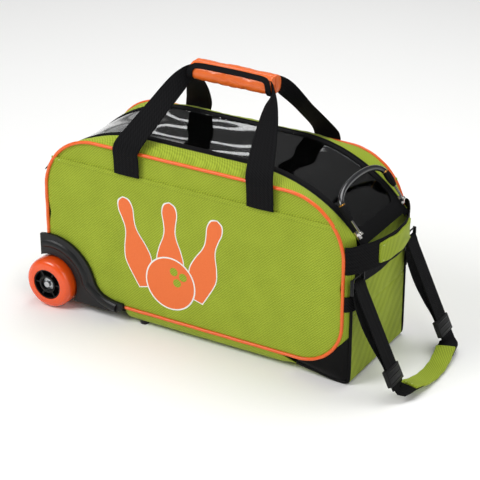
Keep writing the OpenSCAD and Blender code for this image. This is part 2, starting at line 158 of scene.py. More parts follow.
world = bpy.data.worlds.new("studio")
bpy.context.scene.world = world
world.use_nodes = True
sky = world.node_tree.nodes["Background"]
heading = world.node_tree.nodes.new("ShaderNodeTexCoord")
parts = world.node_tree.nodes.new("ShaderNodeSeparateXYZ")
ramp = world.node_tree.nodes.new("ShaderNodeValToRGB")
world.node_tree.links.new(heading.outputs["Generated"], parts.inputs[0])
world.node_tree.links.new(parts.outputs["Z"], ramp.inputs["Fac"])
world.node_tree.links.new(ramp.outputs["Color"], sky.inputs["Color"])
HORIZON = ((0.0, 0.75), (0.16, 0.7), (0.26, 0.1))
ZENITH = 0.3
for height, grey in HORIZON:
    stop = ramp.color_ramp.elements.new(height) if height > 0 else ramp.color_ramp.elements[0]
    stop.color = (grey, grey, grey, 1)
ramp.color_ramp.elements[-1].color = (ZENITH, ZENITH, ZENITH, 1)
sky.inputs["Strength"].default_value = 0.9
bpy.context.scene.view_settings.view_transform = "Standard"

bpy.ops.mesh.primitive_plane_add(size=60, location=(0, 0, -0.0005))
floor = bpy.context.object
floor.name = "studio_floor"

# %% [markdown]
# ## Finishes
# Each finish starts from the real material. Colours are sRGB hex values that one function turns to linear,
# and `add` puts one node in a tree with its settings and links. Patterns read Object coordinates, or on
# webbing the strip's own UV map in metres, so a thread has a real spacing.

# %% Helpers for finishes


def linear(hex_colour):
    """An sRGB hex colour as linear RGBA."""
    values = [int(hex_colour[i:i + 2], 16) / 255 for i in (1, 3, 5)]
    return [v / 12.92 if v <= 0.04045 else ((v + 0.055) / 1.055) ** 2.4 for v in values] + [1]


def add(tree, kind, links=None, **settings):
    """Adds a node; links maps an input's name or number to a value or to another node's output."""
    made = tree.nodes.new(kind)
    for key, value in settings.items():
        setattr(made, key, value)
    for key, value in (links or {}).items():
        if isinstance(value, bpy.types.NodeSocket):
            tree.links.new(value, made.inputs[key])
        else:
            made.inputs[key].default_value = value
    return made


def finish(name, **sockets):
    """A material with one Principled shader whose sockets are set by name, with _ for a space."""
    material = bpy.data.materials.new(name)
    material.use_nodes = True
    shader = material.node_tree.nodes["Principled BSDF"]
    for key, value in sockets.items():
        shader.inputs[key.replace("_", " ")].default_value = value
    return material, material.node_tree, shader


def period(spacing_mm):
    """Radians per metre of a wave that repeats every spacing_mm."""
    return 2 * math.pi / (spacing_mm * MM)


def ridges(tree, source, direction, spacing_mm):
    """A sine, from -1 to 1, of how far a point lies along a direction."""
    along = add(tree, "ShaderNodeVectorMath", {0: source, 1: direction}, operation="DOT_PRODUCT")
    turns = add(tree, "ShaderNodeMath", {0: along.outputs["Value"], 1: period(spacing_mm)},
                operation="MULTIPLY")
    return add(tree, "ShaderNodeMath", {0: turns.outputs[0]}, operation="SINE").outputs[0]


def noise(tree, source, size_mm, detail=2.0):
    """Soft noise whose lumps are about size_mm across."""
    return add(tree, "ShaderNodeTexNoise", {"Vector": source, "Scale": 1 / (size_mm * MM),
                                            "Detail": detail}).outputs["Fac"]


def two_tone(tree, shader, factor, low, high):
    """Base colour between two hex colours."""
    mix = add(tree, "ShaderNodeMix", {"Factor": factor, "A": linear(low), "B": linear(high)},
              data_type="RGBA")
    tree.links.new(mix.outputs["Result"], shader.inputs["Base Color"])


def relief(tree, shader, height, depth_mm, strength=1.0):
    """Bump of a given depth."""
    bump = add(tree, "ShaderNodeBump", {"Height": height, "Distance": depth_mm * MM, "Strength": strength})
    tree.links.new(bump.outputs["Normal"], shader.inputs["Normal"])


def weighted(tree, a, wa, b, wb, offset=0.0):
    """a * wa + b * wb + offset."""
    first = add(tree, "ShaderNodeMath", {0: a, 1: wa, 2: offset}, operation="MULTIPLY_ADD")
    return add(tree, "ShaderNodeMath", {0: b, 1: wb, 2: first.outputs[0]},
               operation="MULTIPLY_ADD").outputs[0]


# %% [markdown]
# ### Lime polyester
# A coarse 1680-denier polyester in a basket weave, coated on its back. The threads are under a millimetre
# apart, which a small picture can't show, so they are drawn 4.6 mm apart. Two diagonal sets of ridges
# cross, and a broad noise gives the cloth its uneven sheen.

# %% Lime polyester
CLOTH_THREAD = 4.6


def woven_cloth(name, dark, light):
    material, tree, shader = finish(name, Roughness=0.8, Sheen_Weight=0.06, Sheen_Roughness=0.5,
                                    Specular_IOR_Level=0.25)
    place = add(tree, "ShaderNodeTexCoord").outputs["Object"]
    warp = ridges(tree, place, (1, 1, -1), CLOTH_THREAD * 1.15)
    weft = ridges(tree, place, (1, -1, 1), CLOTH_THREAD * 1.4)
    crossing = add(tree, "ShaderNodeMath", {0: warp, 1: weft}, operation="MULTIPLY").outputs[0]
    threads = weighted(tree, warp, 0.3, crossing, 0.3, 0.5)
    cloud = noise(tree, place, 60)
    tone = weighted(tree, threads, 0.95, cloud, 0.5, -0.22)
    two_tone(tree, shader, tone, dark, light)
    relief(tree, shader, threads, 0.5, 0.6)
    return material


lime_polyester = woven_cloth("lime_polyester", "#78891A", "#A6B735")

# %% [markdown]
# ### Webbing and binding
# Webbing is woven polypropylene: it shows slanted ribs in two columns like a herringbone. Binding is a thin
# grosgrain tape with fine ribs straight across. Both are nearly black and matt, so little light comes back
# from the surface.

# %% Webbing and binding


def ribbed_tape(name, dark, light, spacing_mm, slant, depth_mm):
    material, tree, shader = finish(name, Roughness=0.75, Specular_IOR_Level=0.1)
    strip = add(tree, "ShaderNodeTexCoord").outputs["UV"]
    ribs = ridges(tree, strip, (slant, 1, 0), spacing_mm)
    edges = ridges(tree, strip, (1, 0, 0), spacing_mm * 1.6)
    cord = weighted(tree, ribs, 0.4, edges, 0.18, 0.5)
    two_tone(tree, shader, cord, dark, light)
    relief(tree, shader, cord, depth_mm)
    return material


black_webbing = ribbed_tape("black_webbing", "#050506", "#151517", 5.0, 0.9, 0.6)
black_binding = ribbed_tape("black_binding", "#070708", "#141416", 3.0, 0.0, 0.2)


def plain_cloth(name, dark, light, grain_mm, rough=0.9):
    material, tree, shader = finish(name, Roughness=rough, Specular_IOR_Level=0.15)
    place = add(tree, "ShaderNodeTexCoord").outputs["Object"]
    grain = noise(tree, place, grain_mm, 4)
    two_tone(tree, shader, grain, dark, light)
    relief(tree, shader, grain, 0.12, 0.4)
    return material


black_tape = plain_cloth("black_tape", "#070708", "#161618", 1.6, 0.8)
black_lining = plain_cloth("black_lining", "#040405", "#0B0B0C", 2.5)
grey_felt = plain_cloth("grey_felt", "#303235", "#46484C", 3)
black_foam = plain_cloth("black_foam", "#070708", "#101011", 2)

# %% [markdown]
# ### Vinyls
# Extruded piping and coated sheet are soft PVC with a satin surface and a faint leather grain. The lid's
# window is the same plastic without pigment, so it is nearly clear and very smooth.

# %% Vinyls


def soft_vinyl(name, dark, light, rough, grain_mm, depth_mm, coat=0.0, gloss=0.4):
    material, tree, shader = finish(name, Roughness=rough, Specular_IOR_Level=gloss, Coat_Weight=coat,
                                    Coat_Roughness=0.2)
    place = add(tree, "ShaderNodeTexCoord").outputs["Object"]
    grain = noise(tree, place, grain_mm, 3)
    two_tone(tree, shader, grain, dark, light)
    relief(tree, shader, grain, depth_mm, 0.6)
    return material


orange_piping_vinyl = soft_vinyl("orange_piping_vinyl", "#DE5210", "#EC6A20", 0.38, 6, 0.15, 0.2)
orange_wrap_vinyl = soft_vinyl("orange_wrap_vinyl", "#D85A14", "#E66E22", 0.36, 9, 0.3, 0.3)
black_vinyl = soft_vinyl("black_vinyl", "#040405", "#0A0A0B", 0.4, 8, 0.2, 0.0, 0.1)
smoke_vinyl = soft_vinyl("smoke_vinyl", "#141416", "#26282B", 0.16, 12, 0.1, 0.8)

clear_vinyl, _, _ = finish("clear_vinyl", Base_Color=linear("#F4F6F8"), Roughness=0.04, IOR=1.45,
                           Transmission_Weight=1.0)

# %% [markdown]
# ### Plastics, rubber and metal
# The housings are injection-moulded polypropylene with a spark-eroded texture of about 1 mm. The treads are
# cast polyurethane, glossy and slightly uneven in colour. Bearings and nuts are zinc plated, the zip's
# metal is nickel.

# %% Plastics and metals


def moulded(name, dark, light, rough, grain_mm, depth_mm, coat=0.0, gloss=0.45):
    material, tree, shader = finish(name, Roughness=rough, Specular_IOR_Level=gloss, Coat_Weight=coat,
                                    Coat_Roughness=0.12)
    place = add(tree, "ShaderNodeTexCoord").outputs["Object"]
    grain = noise(tree, place, grain_mm, 3)
    two_tone(tree, shader, noise(tree, place, 40), dark, light)
    relief(tree, shader, grain, depth_mm, 0.5)
    return material


charcoal_plastic = moulded("charcoal_plastic", "#0D0E0F", "#151617", 0.38, 1.4, 0.06, 0.0, 0.3)
black_plastic = moulded("black_plastic", "#050506", "#0B0B0C", 0.36, 1.4, 0.05, 0.0, 0.22)
orange_urethane = moulded("orange_urethane", "#E0460C", "#EE5A18", 0.26, 14, 0.1, 0.35)


def metal(name, hex_colour, rough, grain_mm):
    material, tree, shader = finish(name, Base_Color=linear(hex_colour), Metallic=1.0, Roughness=rough)
    place = add(tree, "ShaderNodeTexCoord").outputs["Object"]
    relief(tree, shader, noise(tree, place, grain_mm, 4), 0.03, 0.4)
    return material


zinc_steel = metal("zinc_steel", "#B9BBBE", 0.3, 1.2)
bright_nickel = metal("bright_nickel", "#D5D3CE", 0.16, 2)

print_orange = soft_vinyl("print_orange", "#E2682E", "#EA7438", 0.6, 3, 0.1)
print_pale = soft_vinyl("print_pale", "#E4E2DC", "#F2F0EA", 0.6, 3, 0.1)
pale_thread = plain_cloth("pale_thread", "#B9CB72", "#D5E2A2", 1)

floor_paper, _, _ = finish("floor_paper", Base_Color=linear("#FAFAF9"), Roughness=0.9)
floor.data.materials.append(floor_paper)

# %% [markdown]
# ### Finishes of the CAD nodes
# A CAD node whose shape is right stays and takes a finish by its slot in the record.

# %% Finishes of the CAD nodes
by_slot = {
    "lime_fabric": lime_polyester, "orange_piping": orange_piping_vinyl, "black_webbing": black_tape,
    "black_binding": black_tape, "black_vinyl": black_vinyl, "clear_vinyl": clear_vinyl,
    "smoke_vinyl": smoke_vinyl, "black_plastic": charcoal_plastic, "orange_urethane": orange_urethane,
    "orange_vinyl": orange_wrap_vinyl, "steel": zinc_steel, "nickel": bright_nickel,
    "foam": black_foam, "grey_lining": grey_felt, "black_lining": black_lining,
}
slot_of = {s["node"]: s["material_slot"] for s in frame["record"]["subparts"]}
for name, node in nodes.items():
    node.data.materials.clear()
    node.data.materials.append(by_slot[slot_of[name]])
print("finished", len(nodes), "nodes")

# %% [markdown]
# ## Tools of the bench
# A new piece starts as a primitive, is shaped in edit mode and ends with its place in its mesh. These
# helpers select, open, clean and hand over a piece. Most soft pieces are one sheet: a grid primitive whose
# corners are moved to a place worked out from how far across and along the sheet they lie. The grid's UV
# map is scaled to metres, so thread keeps its size on every strip.

# %% Selecting and cleaning


def take(piece):
    """Makes one piece the only one selected."""
    if bpy.context.object and bpy.context.object.mode != "OBJECT":
        bpy.ops.object.mode_set(mode="OBJECT")
    bpy.ops.object.select_all(action="DESELECT")
    piece.select_set(True)
    bpy.context.view_layer.objects.active = piece
    return piece


def open_up(piece):
    """Edit mode with everything selected."""
    take(piece)
    bpy.ops.object.mode_set(mode="EDIT")
    bpy.ops.mesh.select_all(action="SELECT")


def close_up():
    bpy.ops.object.mode_set(mode="OBJECT")


def apply_modifier(piece, kind, **settings):
    take(piece)
    modifier = piece.modifiers.new(kind.lower(), kind)
    for key, value in settings.items():
        setattr(modifier, key, value)
    bpy.ops.object.modifier_apply(modifier=modifier.name)


def clean(piece):
    """Merges doubles and turns every face outwards."""
    open_up(piece)
    bpy.ops.mesh.remove_doubles(threshold=0.00002)
    bpy.ops.mesh.normals_make_consistent(inside=False)
    close_up()


def round_edges(piece, width_mm, segments=3, angle=35):
    apply_modifier(piece, "BEVEL", width=width_mm * MM, segments=segments, limit_method="ANGLE",
                   angle_limit=math.radians(angle), harden_normals=False)


def thicken(piece, t_mm, offset=-1.0, lining=False):
    """Gives a sheet its thickness; lining puts the second material on its far side."""
    apply_modifier(piece, "SOLIDIFY", thickness=t_mm * MM, offset=offset, material_offset=int(lining))


def join(pieces):
    """Joins pieces into the first."""
    take(pieces[0])
    for piece in pieces[1:]:
        piece.select_set(True)
    bpy.ops.object.join()
    return pieces[0]


# %% Handing over


def hand_over(piece, name, body, material, slot, stands_for=(), smooth=35, bend=None):
    """Names a finished piece, gives it its finish, and fixes it to its body; with bend, it only bakes its
    place into its mesh and fixes it to no body.
    """
    take(piece)
    bpy.ops.object.transform_apply(location=True, rotation=True, scale=True)
    piece.name = name
    piece.data.name = name
    finishes = material if isinstance(material, (list, tuple)) else [material]
    if len(piece.data.materials) == 0:
        for one in finishes:
            piece.data.materials.append(one)
    if smooth:
        bpy.ops.object.shade_smooth_by_angle(angle=math.radians(smooth))
    if bend:
        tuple(bend[0])
        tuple(bend[1])
        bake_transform(piece)
    else:
        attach(piece, body)
    if stands_for:
        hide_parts(*stands_for)
    print(name, len(piece.data.vertices), "vertices")
    return piece


def mirror_of(piece):
    """The same piece on the other side of the bag, with its own mesh."""
    other = piece.copy()
    other.data = piece.data.copy()
    bpy.context.collection.objects.link(other)
    open_up(other)
    bpy.ops.transform.resize(value=(1, -1, 1), center_override=(0, 0, 0))
    bpy.ops.mesh.flip_normals()
    close_up()
    return other


def hand_over_pair(piece, name, body, material, slot, stands_for=(), smooth=35, bend=None):
    """Hands over a front piece and its mirror image; {} stands for front or back."""
    made = []
    for side, one in (("front", piece), ("back", mirror_of(piece))):
        ends = bend
        if bend and side == "back":
            ends = [(p[0], -p[1], p[2]) for p in bend]
        made.append(hand_over(one, name.format(side), body.format(side), material, slot,
                              [node.format(side) for node in stands_for], smooth, ends))
    return made


# %% Sheets, strips and seams


def sheet(across, along, place, size_mm=(1000, 1000)):
    """A grid of across by along faces; place(u, v) gives each corner, with u and v from 0 to 1."""
    if bpy.context.object:
        take(bpy.context.object)
    bpy.ops.mesh.primitive_grid_add(x_subdivisions=across, y_subdivisions=along, size=1)
    piece = bpy.context.object
    for vertex in piece.data.vertices:
        vertex.co = place(vertex.co.x + 0.5, vertex.co.y + 0.5)
    for corner in piece.data.uv_layers[0].data:
        corner.uv = (corner.uv[0] * size_mm[0] * MM, corner.uv[1] * size_mm[1] * MM)
    return piece


def along_line(points):
    """A function from 0..1 to a point that runs evenly along straight stretches between the points."""
    steps = [0.0]
    for a, b in zip(points, points[1:]):
        steps.append(steps[-1] + (Vector(b) - Vector(a)).length)

    def place(t):
        reach = t * steps[-1]
        for i, (a, b) in enumerate(zip(points, points[1:])):
            if reach <= steps[i + 1] or i == len(points) - 2:
                return Vector(a).lerp(Vector(b), (reach - steps[i]) / (steps[i + 1] - steps[i]))
    place.length = steps[-1]
    return place


def curve_through(points, steps=8):
    """Points along a smooth curve through points of any number of values."""
    ends = [points[0]] + list(points) + [points[-1]]
    out = []
    for a, b, c, d in zip(ends, ends[1:], ends[2:], ends[3:]):
        for i in range(steps):
            t = i / steps
            out.append([0.5 * (2 * q + (r - p) * t + (2 * p - 5 * q + 4 * r - s) * t * t
                               + (3 * q - p - 3 * r + s) * t ** 3) for p, q, r, s in zip(a, b, c, d)])
    out.append(list(points[-1]))
    return out


SHRINK = 1000    # widths and directions are carried this much smaller, to add next to nothing to a length


def strip(points, width_mm, wide, thick_mm=1.6, across=4, crown_mm=0.0, edge_mm=0.5):
    """Webbing along points in bag millimetres. width_mm and wide may be one value or one for each point."""
    widths = width_mm if isinstance(width_mm, list) else [width_mm] * len(points)
    wides = wide if isinstance(wide[0], (list, tuple)) else [wide] * len(points)
    fine = curve_through([list(p) + [w] + list(d) for p, w, d in zip(points, widths, wides)])
    path = along_line([p[:3] for p in fine])
    facts = along_line([p[:3] + [w / SHRINK for w in p[3:]] for p in fine])
    along = max(8, int(path.length / 6))

    def place(u, v):
        here = facts(v)
        forward = (Vector(path(min(1, v + 0.01))) - Vector(path(max(0, v - 0.01)))).normalized()
        side = Vector(list(here[4:7]))
        side = (side - side.dot(forward) * forward).normalized()
        face = side.cross(forward)
        off = (u - 0.5) * here[3] * SHRINK
        return at(*(Vector(here[:3]) + side * off + face * crown_mm * (1 - (2 * u - 1) ** 2)))

    piece = sheet(across, along, place, (max(widths), path.length))
    thicken(piece, thick_mm, 0.0)
    clean(piece)
    if edge_mm:
        round_edges(piece, edge_mm, 2, 60)
    return piece


def arc(cx, cz, r, a0, a1, n):
    return [(cx + r * math.cos(math.radians(a0 + (a1 - a0) * i / n)),
             cz + r * math.sin(math.radians(a0 + (a1 - a0) * i / n))) for i in range(n + 1)]


def tube(points, radius_mm, sides):
    """A round cord along points in bag millimetres, as a curve turned to a mesh with closed ends."""
    curve = bpy.data.curves.new("tube", "CURVE")
    curve.dimensions = "3D"
    curve.bevel_depth = radius_mm * MM
    curve.bevel_resolution = max(1, sides // 4)
    curve.use_fill_caps = True
    spline = curve.splines.new("POLY")
    spline.points.add(len(points) - 1)
    for target, p in zip(spline.points, points):
        target.co = (*at(*p), 1)
    piece = bpy.data.objects.new("tube", curve)
    bpy.context.collection.objects.link(piece)
    take(piece)
    bpy.ops.object.convert(target="MESH")
    piece = bpy.context.object
    clean(piece)
    return piece


def stitches(points, facing, pitch_mm=6.0, width_mm=1.1):
    """A row of stitches along points in bag millimetres, lying on cloth that faces a direction."""
    path = along_line([tuple(p) for p in points])
    count = max(2, int(path.length / (pitch_mm / 2)))
    face = Vector(facing).normalized()

    def place(u, v):
        forward = (Vector(path(min(1, v + 0.005))) - Vector(path(max(0, v - 0.005)))).normalized()
        return at(*(Vector(path(v)) + face.cross(forward) * (u - 0.5) * width_mm))

    piece = sheet(1, count, place, (width_mm, path.length))
    open_up(piece)
    bpy.ops.mesh.select_all(action="DESELECT")
    close_up()
    for i, polygon in enumerate(piece.data.polygons):
        polygon.select = i % 2 == 1
    bpy.ops.object.mode_set(mode="EDIT")
    bpy.ops.mesh.delete(type="FACE")
    close_up()
    thicken(piece, 0.6, 0.0)
    clean(piece)
    return piece


def copy_of(node, bevel_mm=0.0, segments=3, angle=35):
    """A clean copy of a CAD node's mesh with its edges rounded."""
    piece = bpy.data.objects.new(node + "_copy", nodes[node].data.copy())
    bpy.context.collection.objects.link(piece)
    piece.data.materials.clear()
    open_up(piece)
    bpy.ops.mesh.remove_doubles(threshold=0.00001)
    bpy.ops.mesh.dissolve_limited(angle_limit=math.radians(1))
    bpy.ops.mesh.normals_make_consistent(inside=False)
    close_up()
    if bevel_mm:
        round_edges(piece, bevel_mm, segments, angle)
    return piece

# %% [markdown]
# ## Side panels
# Each side is two layers of polyester over foam: the full panel, and a pocket panel on it that ends at a
# topstitched seam. Piping holds the rim and the foam pushes the middle out, so the face is crowned with
# soft dimples. It starts from the inner layer's outline, is made thicker, remeshed at 6 mm and blown up by
# the cloth solver with its rim held. Then it is cut flat at the back, so only the outer cushion is kept,
# and stepped in above the seam, where a hem shows.

# %% Side panels
PANEL_Y = (-HALF_W + 0.9) * MM
SEAM_STEP = 1.4 * MM


def blow_up(piece, held, pressure, cap_mm, frames=20, slack=0.0):
    """Runs the cloth solver with some corners held, and caps how far a corner may move."""
    group = piece.vertex_groups.new(name="held")
    group.add(held, 1.0, "REPLACE")
    before = [v.co.copy() for v in piece.data.vertices]
    cloth = piece.modifiers.new("cloth", "CLOTH")
    cloth.settings.use_pressure = True
    cloth.settings.uniform_pressure_force = pressure
    cloth.settings.vertex_group_mass = "held"
    cloth.settings.shrink_min = -slack
    cloth.settings.effector_weights.gravity = 0
    cloth.point_cache.frame_end = frames
    for frame_number in range(1, frames + 1):
        bpy.context.scene.frame_set(frame_number)
    take(piece)
    bpy.ops.object.modifier_apply(modifier="cloth")
    bpy.context.scene.frame_set(1)
    moved = 0
    for vertex, start in zip(piece.data.vertices, before):
        step = vertex.co - start
        if step.length > cap_mm * MM:
            vertex.co = start + step.normalized() * cap_mm * MM
        moved = max(moved, step.length)
    piece.vertex_groups.clear()
    print("cloth moved up to", round(moved * 1000, 1), "mm")


panel = copy_of("front_panel")
open_up(panel)
panel_middle = Vector((SHIFT, -116.9 * MM, 197.5 * MM))
bpy.ops.transform.resize(value=(1.012, 11, 1.018), center_override=panel_middle)
bpy.ops.transform.translate(value=(0, PANEL_Y - panel_middle.y + 7.7 * MM, 0))
close_up()
panel.data.use_remesh_fix_poles = False
panel.data.remesh_voxel_size = 6 * MM
bpy.ops.object.voxel_remesh()
held_rim = [v.index for v in panel.data.vertices if abs(v.normal.y) < 0.8]
open_up(panel)
bpy.ops.mesh.select_all(action="DESELECT")
close_up()
for index in held_rim:
    panel.data.vertices[index].select = True
open_up(panel)
bpy.ops.mesh.select_more()
bpy.ops.mesh.select_more()
close_up()
rim = [v.index for v in panel.data.vertices if v.select]
blow_up(panel, rim, 3.0, 4.5, slack=0.012)
open_up(panel)
bpy.ops.mesh.bisect(plane_co=(0, PANEL_Y + 2.2 * MM, 0), plane_no=(0, 1, 0), clear_outer=True)
for height in (-5, -1.5, 0, 1.5, 5):
    bpy.ops.mesh.select_all(action="SELECT")
    bpy.ops.mesh.bisect(plane_co=(0, 0, (SEAM_Z + height) * MM), plane_no=(0, 0, 1))
close_up()
for vertex in panel.data.vertices:
    over = vertex.co.z / MM - SEAM_Z
    front = vertex.co.y < PANEL_Y + 1.5 * MM
    if front and over > 0.7:
        vertex.co.y += SEAM_STEP * min(1, over / 1.5)
    elif front and over > -5.5:
        vertex.co.y += 0.5 * MM * max(0, 1 - abs(over + 3) / 2.5)
apply_modifier(panel, "SUBSURF", levels=1, render_levels=1)
open_up(panel)
bpy.ops.mesh.select_all(action="DESELECT")
bpy.ops.mesh.select_non_manifold(extend=False)
bpy.ops.mesh.edge_face_add()
close_up()
clean(panel)
crown = min(v.co.y for v in panel.data.vertices)
print("panel crown", round((PANEL_Y - crown) * 1000, 1), "mm")
front_side, back_side = hand_over_pair(panel, "side_cushion_{}", "bag", lime_polyester, "lime_fabric",
                                       ["{}_pocket_panel"], smooth=60)


def panel_y(x, z):
    """How far out the front cushion is at a place in bag millimetres, in bag millimetres."""
    hit, point, _, _ = front_side.ray_cast(at(x, -200, z), (0, 1, 0))
    return point.y / MM if hit else PANEL_Y / MM


# %% Hem and topstitching on the seams
HEM_Z = SEAM_Z - 4.5
hem_line = [(x, panel_y(x, HEM_Z) - 0.7, HEM_Z) for x in range(-304, 305, 16)]
hem = strip(hem_line, 9, (0, 0, 1), 3.0, across=4, crown_mm=0.3)
hand_over_pair(hem, "pocket_hem_{}", "bag", lime_polyester, "lime_fabric", smooth=40)
seam = [(x, y - 1.9, z + 0.4) for x, y, z in hem_line[1:-1]]
hand_over_pair(stitches(seam, (0, -1, 0), 7), "seam_stitches_{}", "bag", pale_thread, "lime_fabric", smooth=0)

# %% [markdown]
# ### Printed motif
# The front carries a flat screen print in orange with a pale outline. Here it is a plain ball and three
# pins, a sign for the sport. Each shape is a filled outline, cut into small faces and shrink-wrapped on the
# cushion, pale layer below and orange on top.

# %% Printed motif
PIN_PROFILE = [(0, 29), (14, 38), (57, 60), (86, 50), (112, 30), (129, 23), (147, 26), (167, 32), (183, 23),
               (190, 0)]


def pin_outline(x, z, tilt, size, grow=0.0):
    """Outline of a pin that stands at x, z and leans by tilt degrees."""
    right = curve_through([(w * size / 2 + (grow if w else 0), h * size + (grow if h > 180 else 0))
                           for h, w in PIN_PROFILE], 6)
    right = [(w, h - (grow if h < 1 else 0)) for w, h in right]
    left = [(-w, h) for w, h in reversed(right[:-1])]
    c, s = math.cos(math.radians(tilt)), math.sin(math.radians(tilt))
    return [(x + w * c - h * s, z + w * s + h * c) for w, h in right + left]


def disc_outline(x, z, r, sides=64):
    return arc(x, z, r, 0, 360 - 360 / sides, sides - 1)


def printed(outlines, lift_mm):
    """Flat filled outlines laid on the front cushion."""
    shapes = []
    for outline in outlines:
        data = bpy.data.meshes.new("print")
        data.from_pydata([at(x, -135, z) for x, z in outline], [], [list(range(len(outline)))])
        shape = bpy.data.objects.new("print", data)
        bpy.context.collection.objects.link(shape)
        shapes.append(shape)
    piece = join(shapes)
    low = min(v.co.x for v in piece.data.vertices), min(v.co.z for v in piece.data.vertices)
    high = max(v.co.x for v in piece.data.vertices), max(v.co.z for v in piece.data.vertices)
    open_up(piece)
    for axis in (0, 1):
        cuts = int((high[axis] - low[axis]) / (7 * MM))
        for i in range(1, cuts):
            reach = low[axis] + (high[axis] - low[axis]) * i / cuts
            bpy.ops.mesh.select_all(action="SELECT")
            bpy.ops.mesh.bisect(plane_co=(reach, 0, reach), plane_no=(1 - axis, 0, axis))
    close_up()
    apply_modifier(piece, "SHRINKWRAP", target=front_side, wrap_method="PROJECT", use_project_y=True,
                   use_negative_direction=True, use_positive_direction=True)
    for vertex in piece.data.vertices:
        vertex.co.y -= lift_mm * MM
    return piece


BALL = (-42, 112, 52)
PINS = [(-98, 92, 15, 0.95), (-42, 98, 0, 0.95), (14, 92, -15, 0.95)]
pin_rims = [pin_outline(*p, grow=2.2) for p in PINS]
pins = [pin_outline(*p) for p in PINS]
ball_rim = [disc_outline(BALL[0], BALL[1], BALL[2] + 3)]
ball = [disc_outline(*BALL)]
holes = [disc_outline(BALL[0] + dx, BALL[1] + dz, 8.5, 32) for dx, dz in ((8, 27), (28, 20), (15, 5))]
hand_over(printed(pin_rims, 0.25), "print_outline_pins", "bag", print_pale, "orange_vinyl", smooth=0)
hand_over(printed(pins, 0.45), "print_pins", "bag", print_orange, "orange_vinyl", smooth=0)
hand_over(printed(ball_rim, 0.65), "print_outline_ball", "bag", print_pale, "orange_vinyl", smooth=0)
hand_over(printed(ball, 0.85), "print_ball", "bag", print_orange, "orange_vinyl", smooth=0)
hand_over(printed(holes, 1.05), "print_finger_holes", "bag", lime_polyester, "lime_fabric", smooth=0)

# %% [markdown]
# ## Piping
# Piping is a cord in a folded vinyl strip, sewn in the seam. It follows the panel's outline from the wheel
# housing round to the housing's tail, as one tube along straight stretches and arcs, and replaces the CAD's
# joined cylinders.

# %% Piping
CORNER_LOW_R = 90
outline = ([(-HALF_L, z) for z in range(151, int(TOP_Z - CORNER_R), 12)]
           + arc(-HALF_L + CORNER_R, TOP_Z - CORNER_R, CORNER_R, 180, 90, 20)
           + [(x, TOP_Z) for x in range(int(-HALF_L + CORNER_R) + 15, int(HALF_L - CORNER_R), 20)]
           + arc(HALF_L - CORNER_R, TOP_Z - CORNER_R, CORNER_R, 90, 0, 20)
           + [(HALF_L, z) for z in range(int(TOP_Z - CORNER_R) - 10, int(BOTTOM_Z + CORNER_LOW_R), -12)]
           + arc(HALF_L - CORNER_LOW_R, BOTTOM_Z + CORNER_LOW_R, CORNER_LOW_R, 0, -90, 20)
           + [(x, BOTTOM_Z) for x in range(int(HALF_L - CORNER_LOW_R) - 15, -147, -20)] + [(-147, BOTTOM_Z)])
cord_points = [(x, -HALF_W + 0.35 * math.sin(i * 1.7), z) for i, (x, z) in enumerate(outline)]
hand_over_pair(tube(cord_points, PIPE_R, sides=14), "piping_cord_{}", "bag", orange_piping_vinyl,
               "orange_piping", ["{}_piping"], smooth=60)

# %% [markdown]
# ## Top gussets
# A gusset is the lime strip from the piping up to the zip. It's one sheet between two rails of the same
# outline, puffed a little between its seams and puckered where the zip gathers it. Its far side is the dark
# lining.

# %% Top gussets
LID_R = 281
ARC_Z = 99
CROWN = 120
END_TOP = 270
low_end = 318.2
low_rail = along_line([(-low_end, END_TOP - 2)]
                      + arc(-HALF_L + CORNER_R, TOP_Z - CORNER_R, CORNER_R, 160, 90, 16)
                      + arc(HALF_L - CORNER_R, TOP_Z - CORNER_R, CORNER_R, 90, 20, 16)
                      + [(low_end, END_TOP - 2)])
high_rail = along_line([(-330, END_TOP)] + arc(-CROWN, ARC_Z, LID_R, 137.5, 90, 16)
                       + arc(CROWN, ARC_Z, LID_R, 90, 42.5, 16) + [(330, END_TOP)])


def gusset_place(u, v):
    low = low_rail(v)
    high = high_rail(v)
    y = -HALF_W + 1.2 + u * (HALF_W - 1.2 - 89.6)
    x = low.x + (high.x - low.x) * u
    z = low.y + (high.y - low.y) * u
    ends = math.sin(math.pi * v) ** 0.4
    puff = 3.2 * math.sin(math.pi * u) ** 0.8 * ends
    pucker = (0.5 * math.sin(v * 190) * u * (1 - u) * 3
              + 1.0 * math.sin(v * 37 + 2 * u) * math.sin(math.pi * u))
    return at(x, y - 0.5 * puff, z + puff + pucker * ends)


gusset = sheet(10, 150, gusset_place, (34, high_rail.length))
thicken(gusset, 1.6, 1.0, lining=True)
for finish_of in (lime_polyester, black_lining):
    gusset.data.materials.append(finish_of)
clean(gusset)
hand_over_pair(gusset, "gusset_sheet_{}", "bag", lime_polyester, "lime_fabric", ["top_gusset_{}"], smooth=60)

# %% [markdown]
# ## Ends, corners and base
# The end is a flat panel with a sewn seam low down, and its corners turn in to the piping. Below, the
# corner is black vinyl, a guard that takes the scuffs, with a bound edge. All of them are sheets between a
# rail on the piping and a rail on the square edge of the end. The base hangs a little below the piping, so
# a lime strip shows.

# %% Rails of the corners
END_X = 331
RIM_Y = -107.5
GUARD_TOP = 100
low_corner = arc(HALF_L - CORNER_LOW_R, BOTTOM_Z + CORNER_LOW_R, CORNER_LOW_R, 0, -90, 18)
cloth_on_piping = along_line([(HALF_L, z) for z in (266, 220, 170)] + low_corner[:8])
cloth_on_rim = along_line([(END_X - 0.5, 268), (END_X, 220), (END_X, 160), (END_X, GUARD_TOP)])
guard_on_piping = along_line(low_corner[7:])
guard_on_rim = along_line([(END_X, GUARD_TOP), (END_X, 50), (END_X, 12), (328, 4), (320, 1.5), (300, 3),
                           (270, 9), (HALF_L - CORNER_LOW_R, 17)])


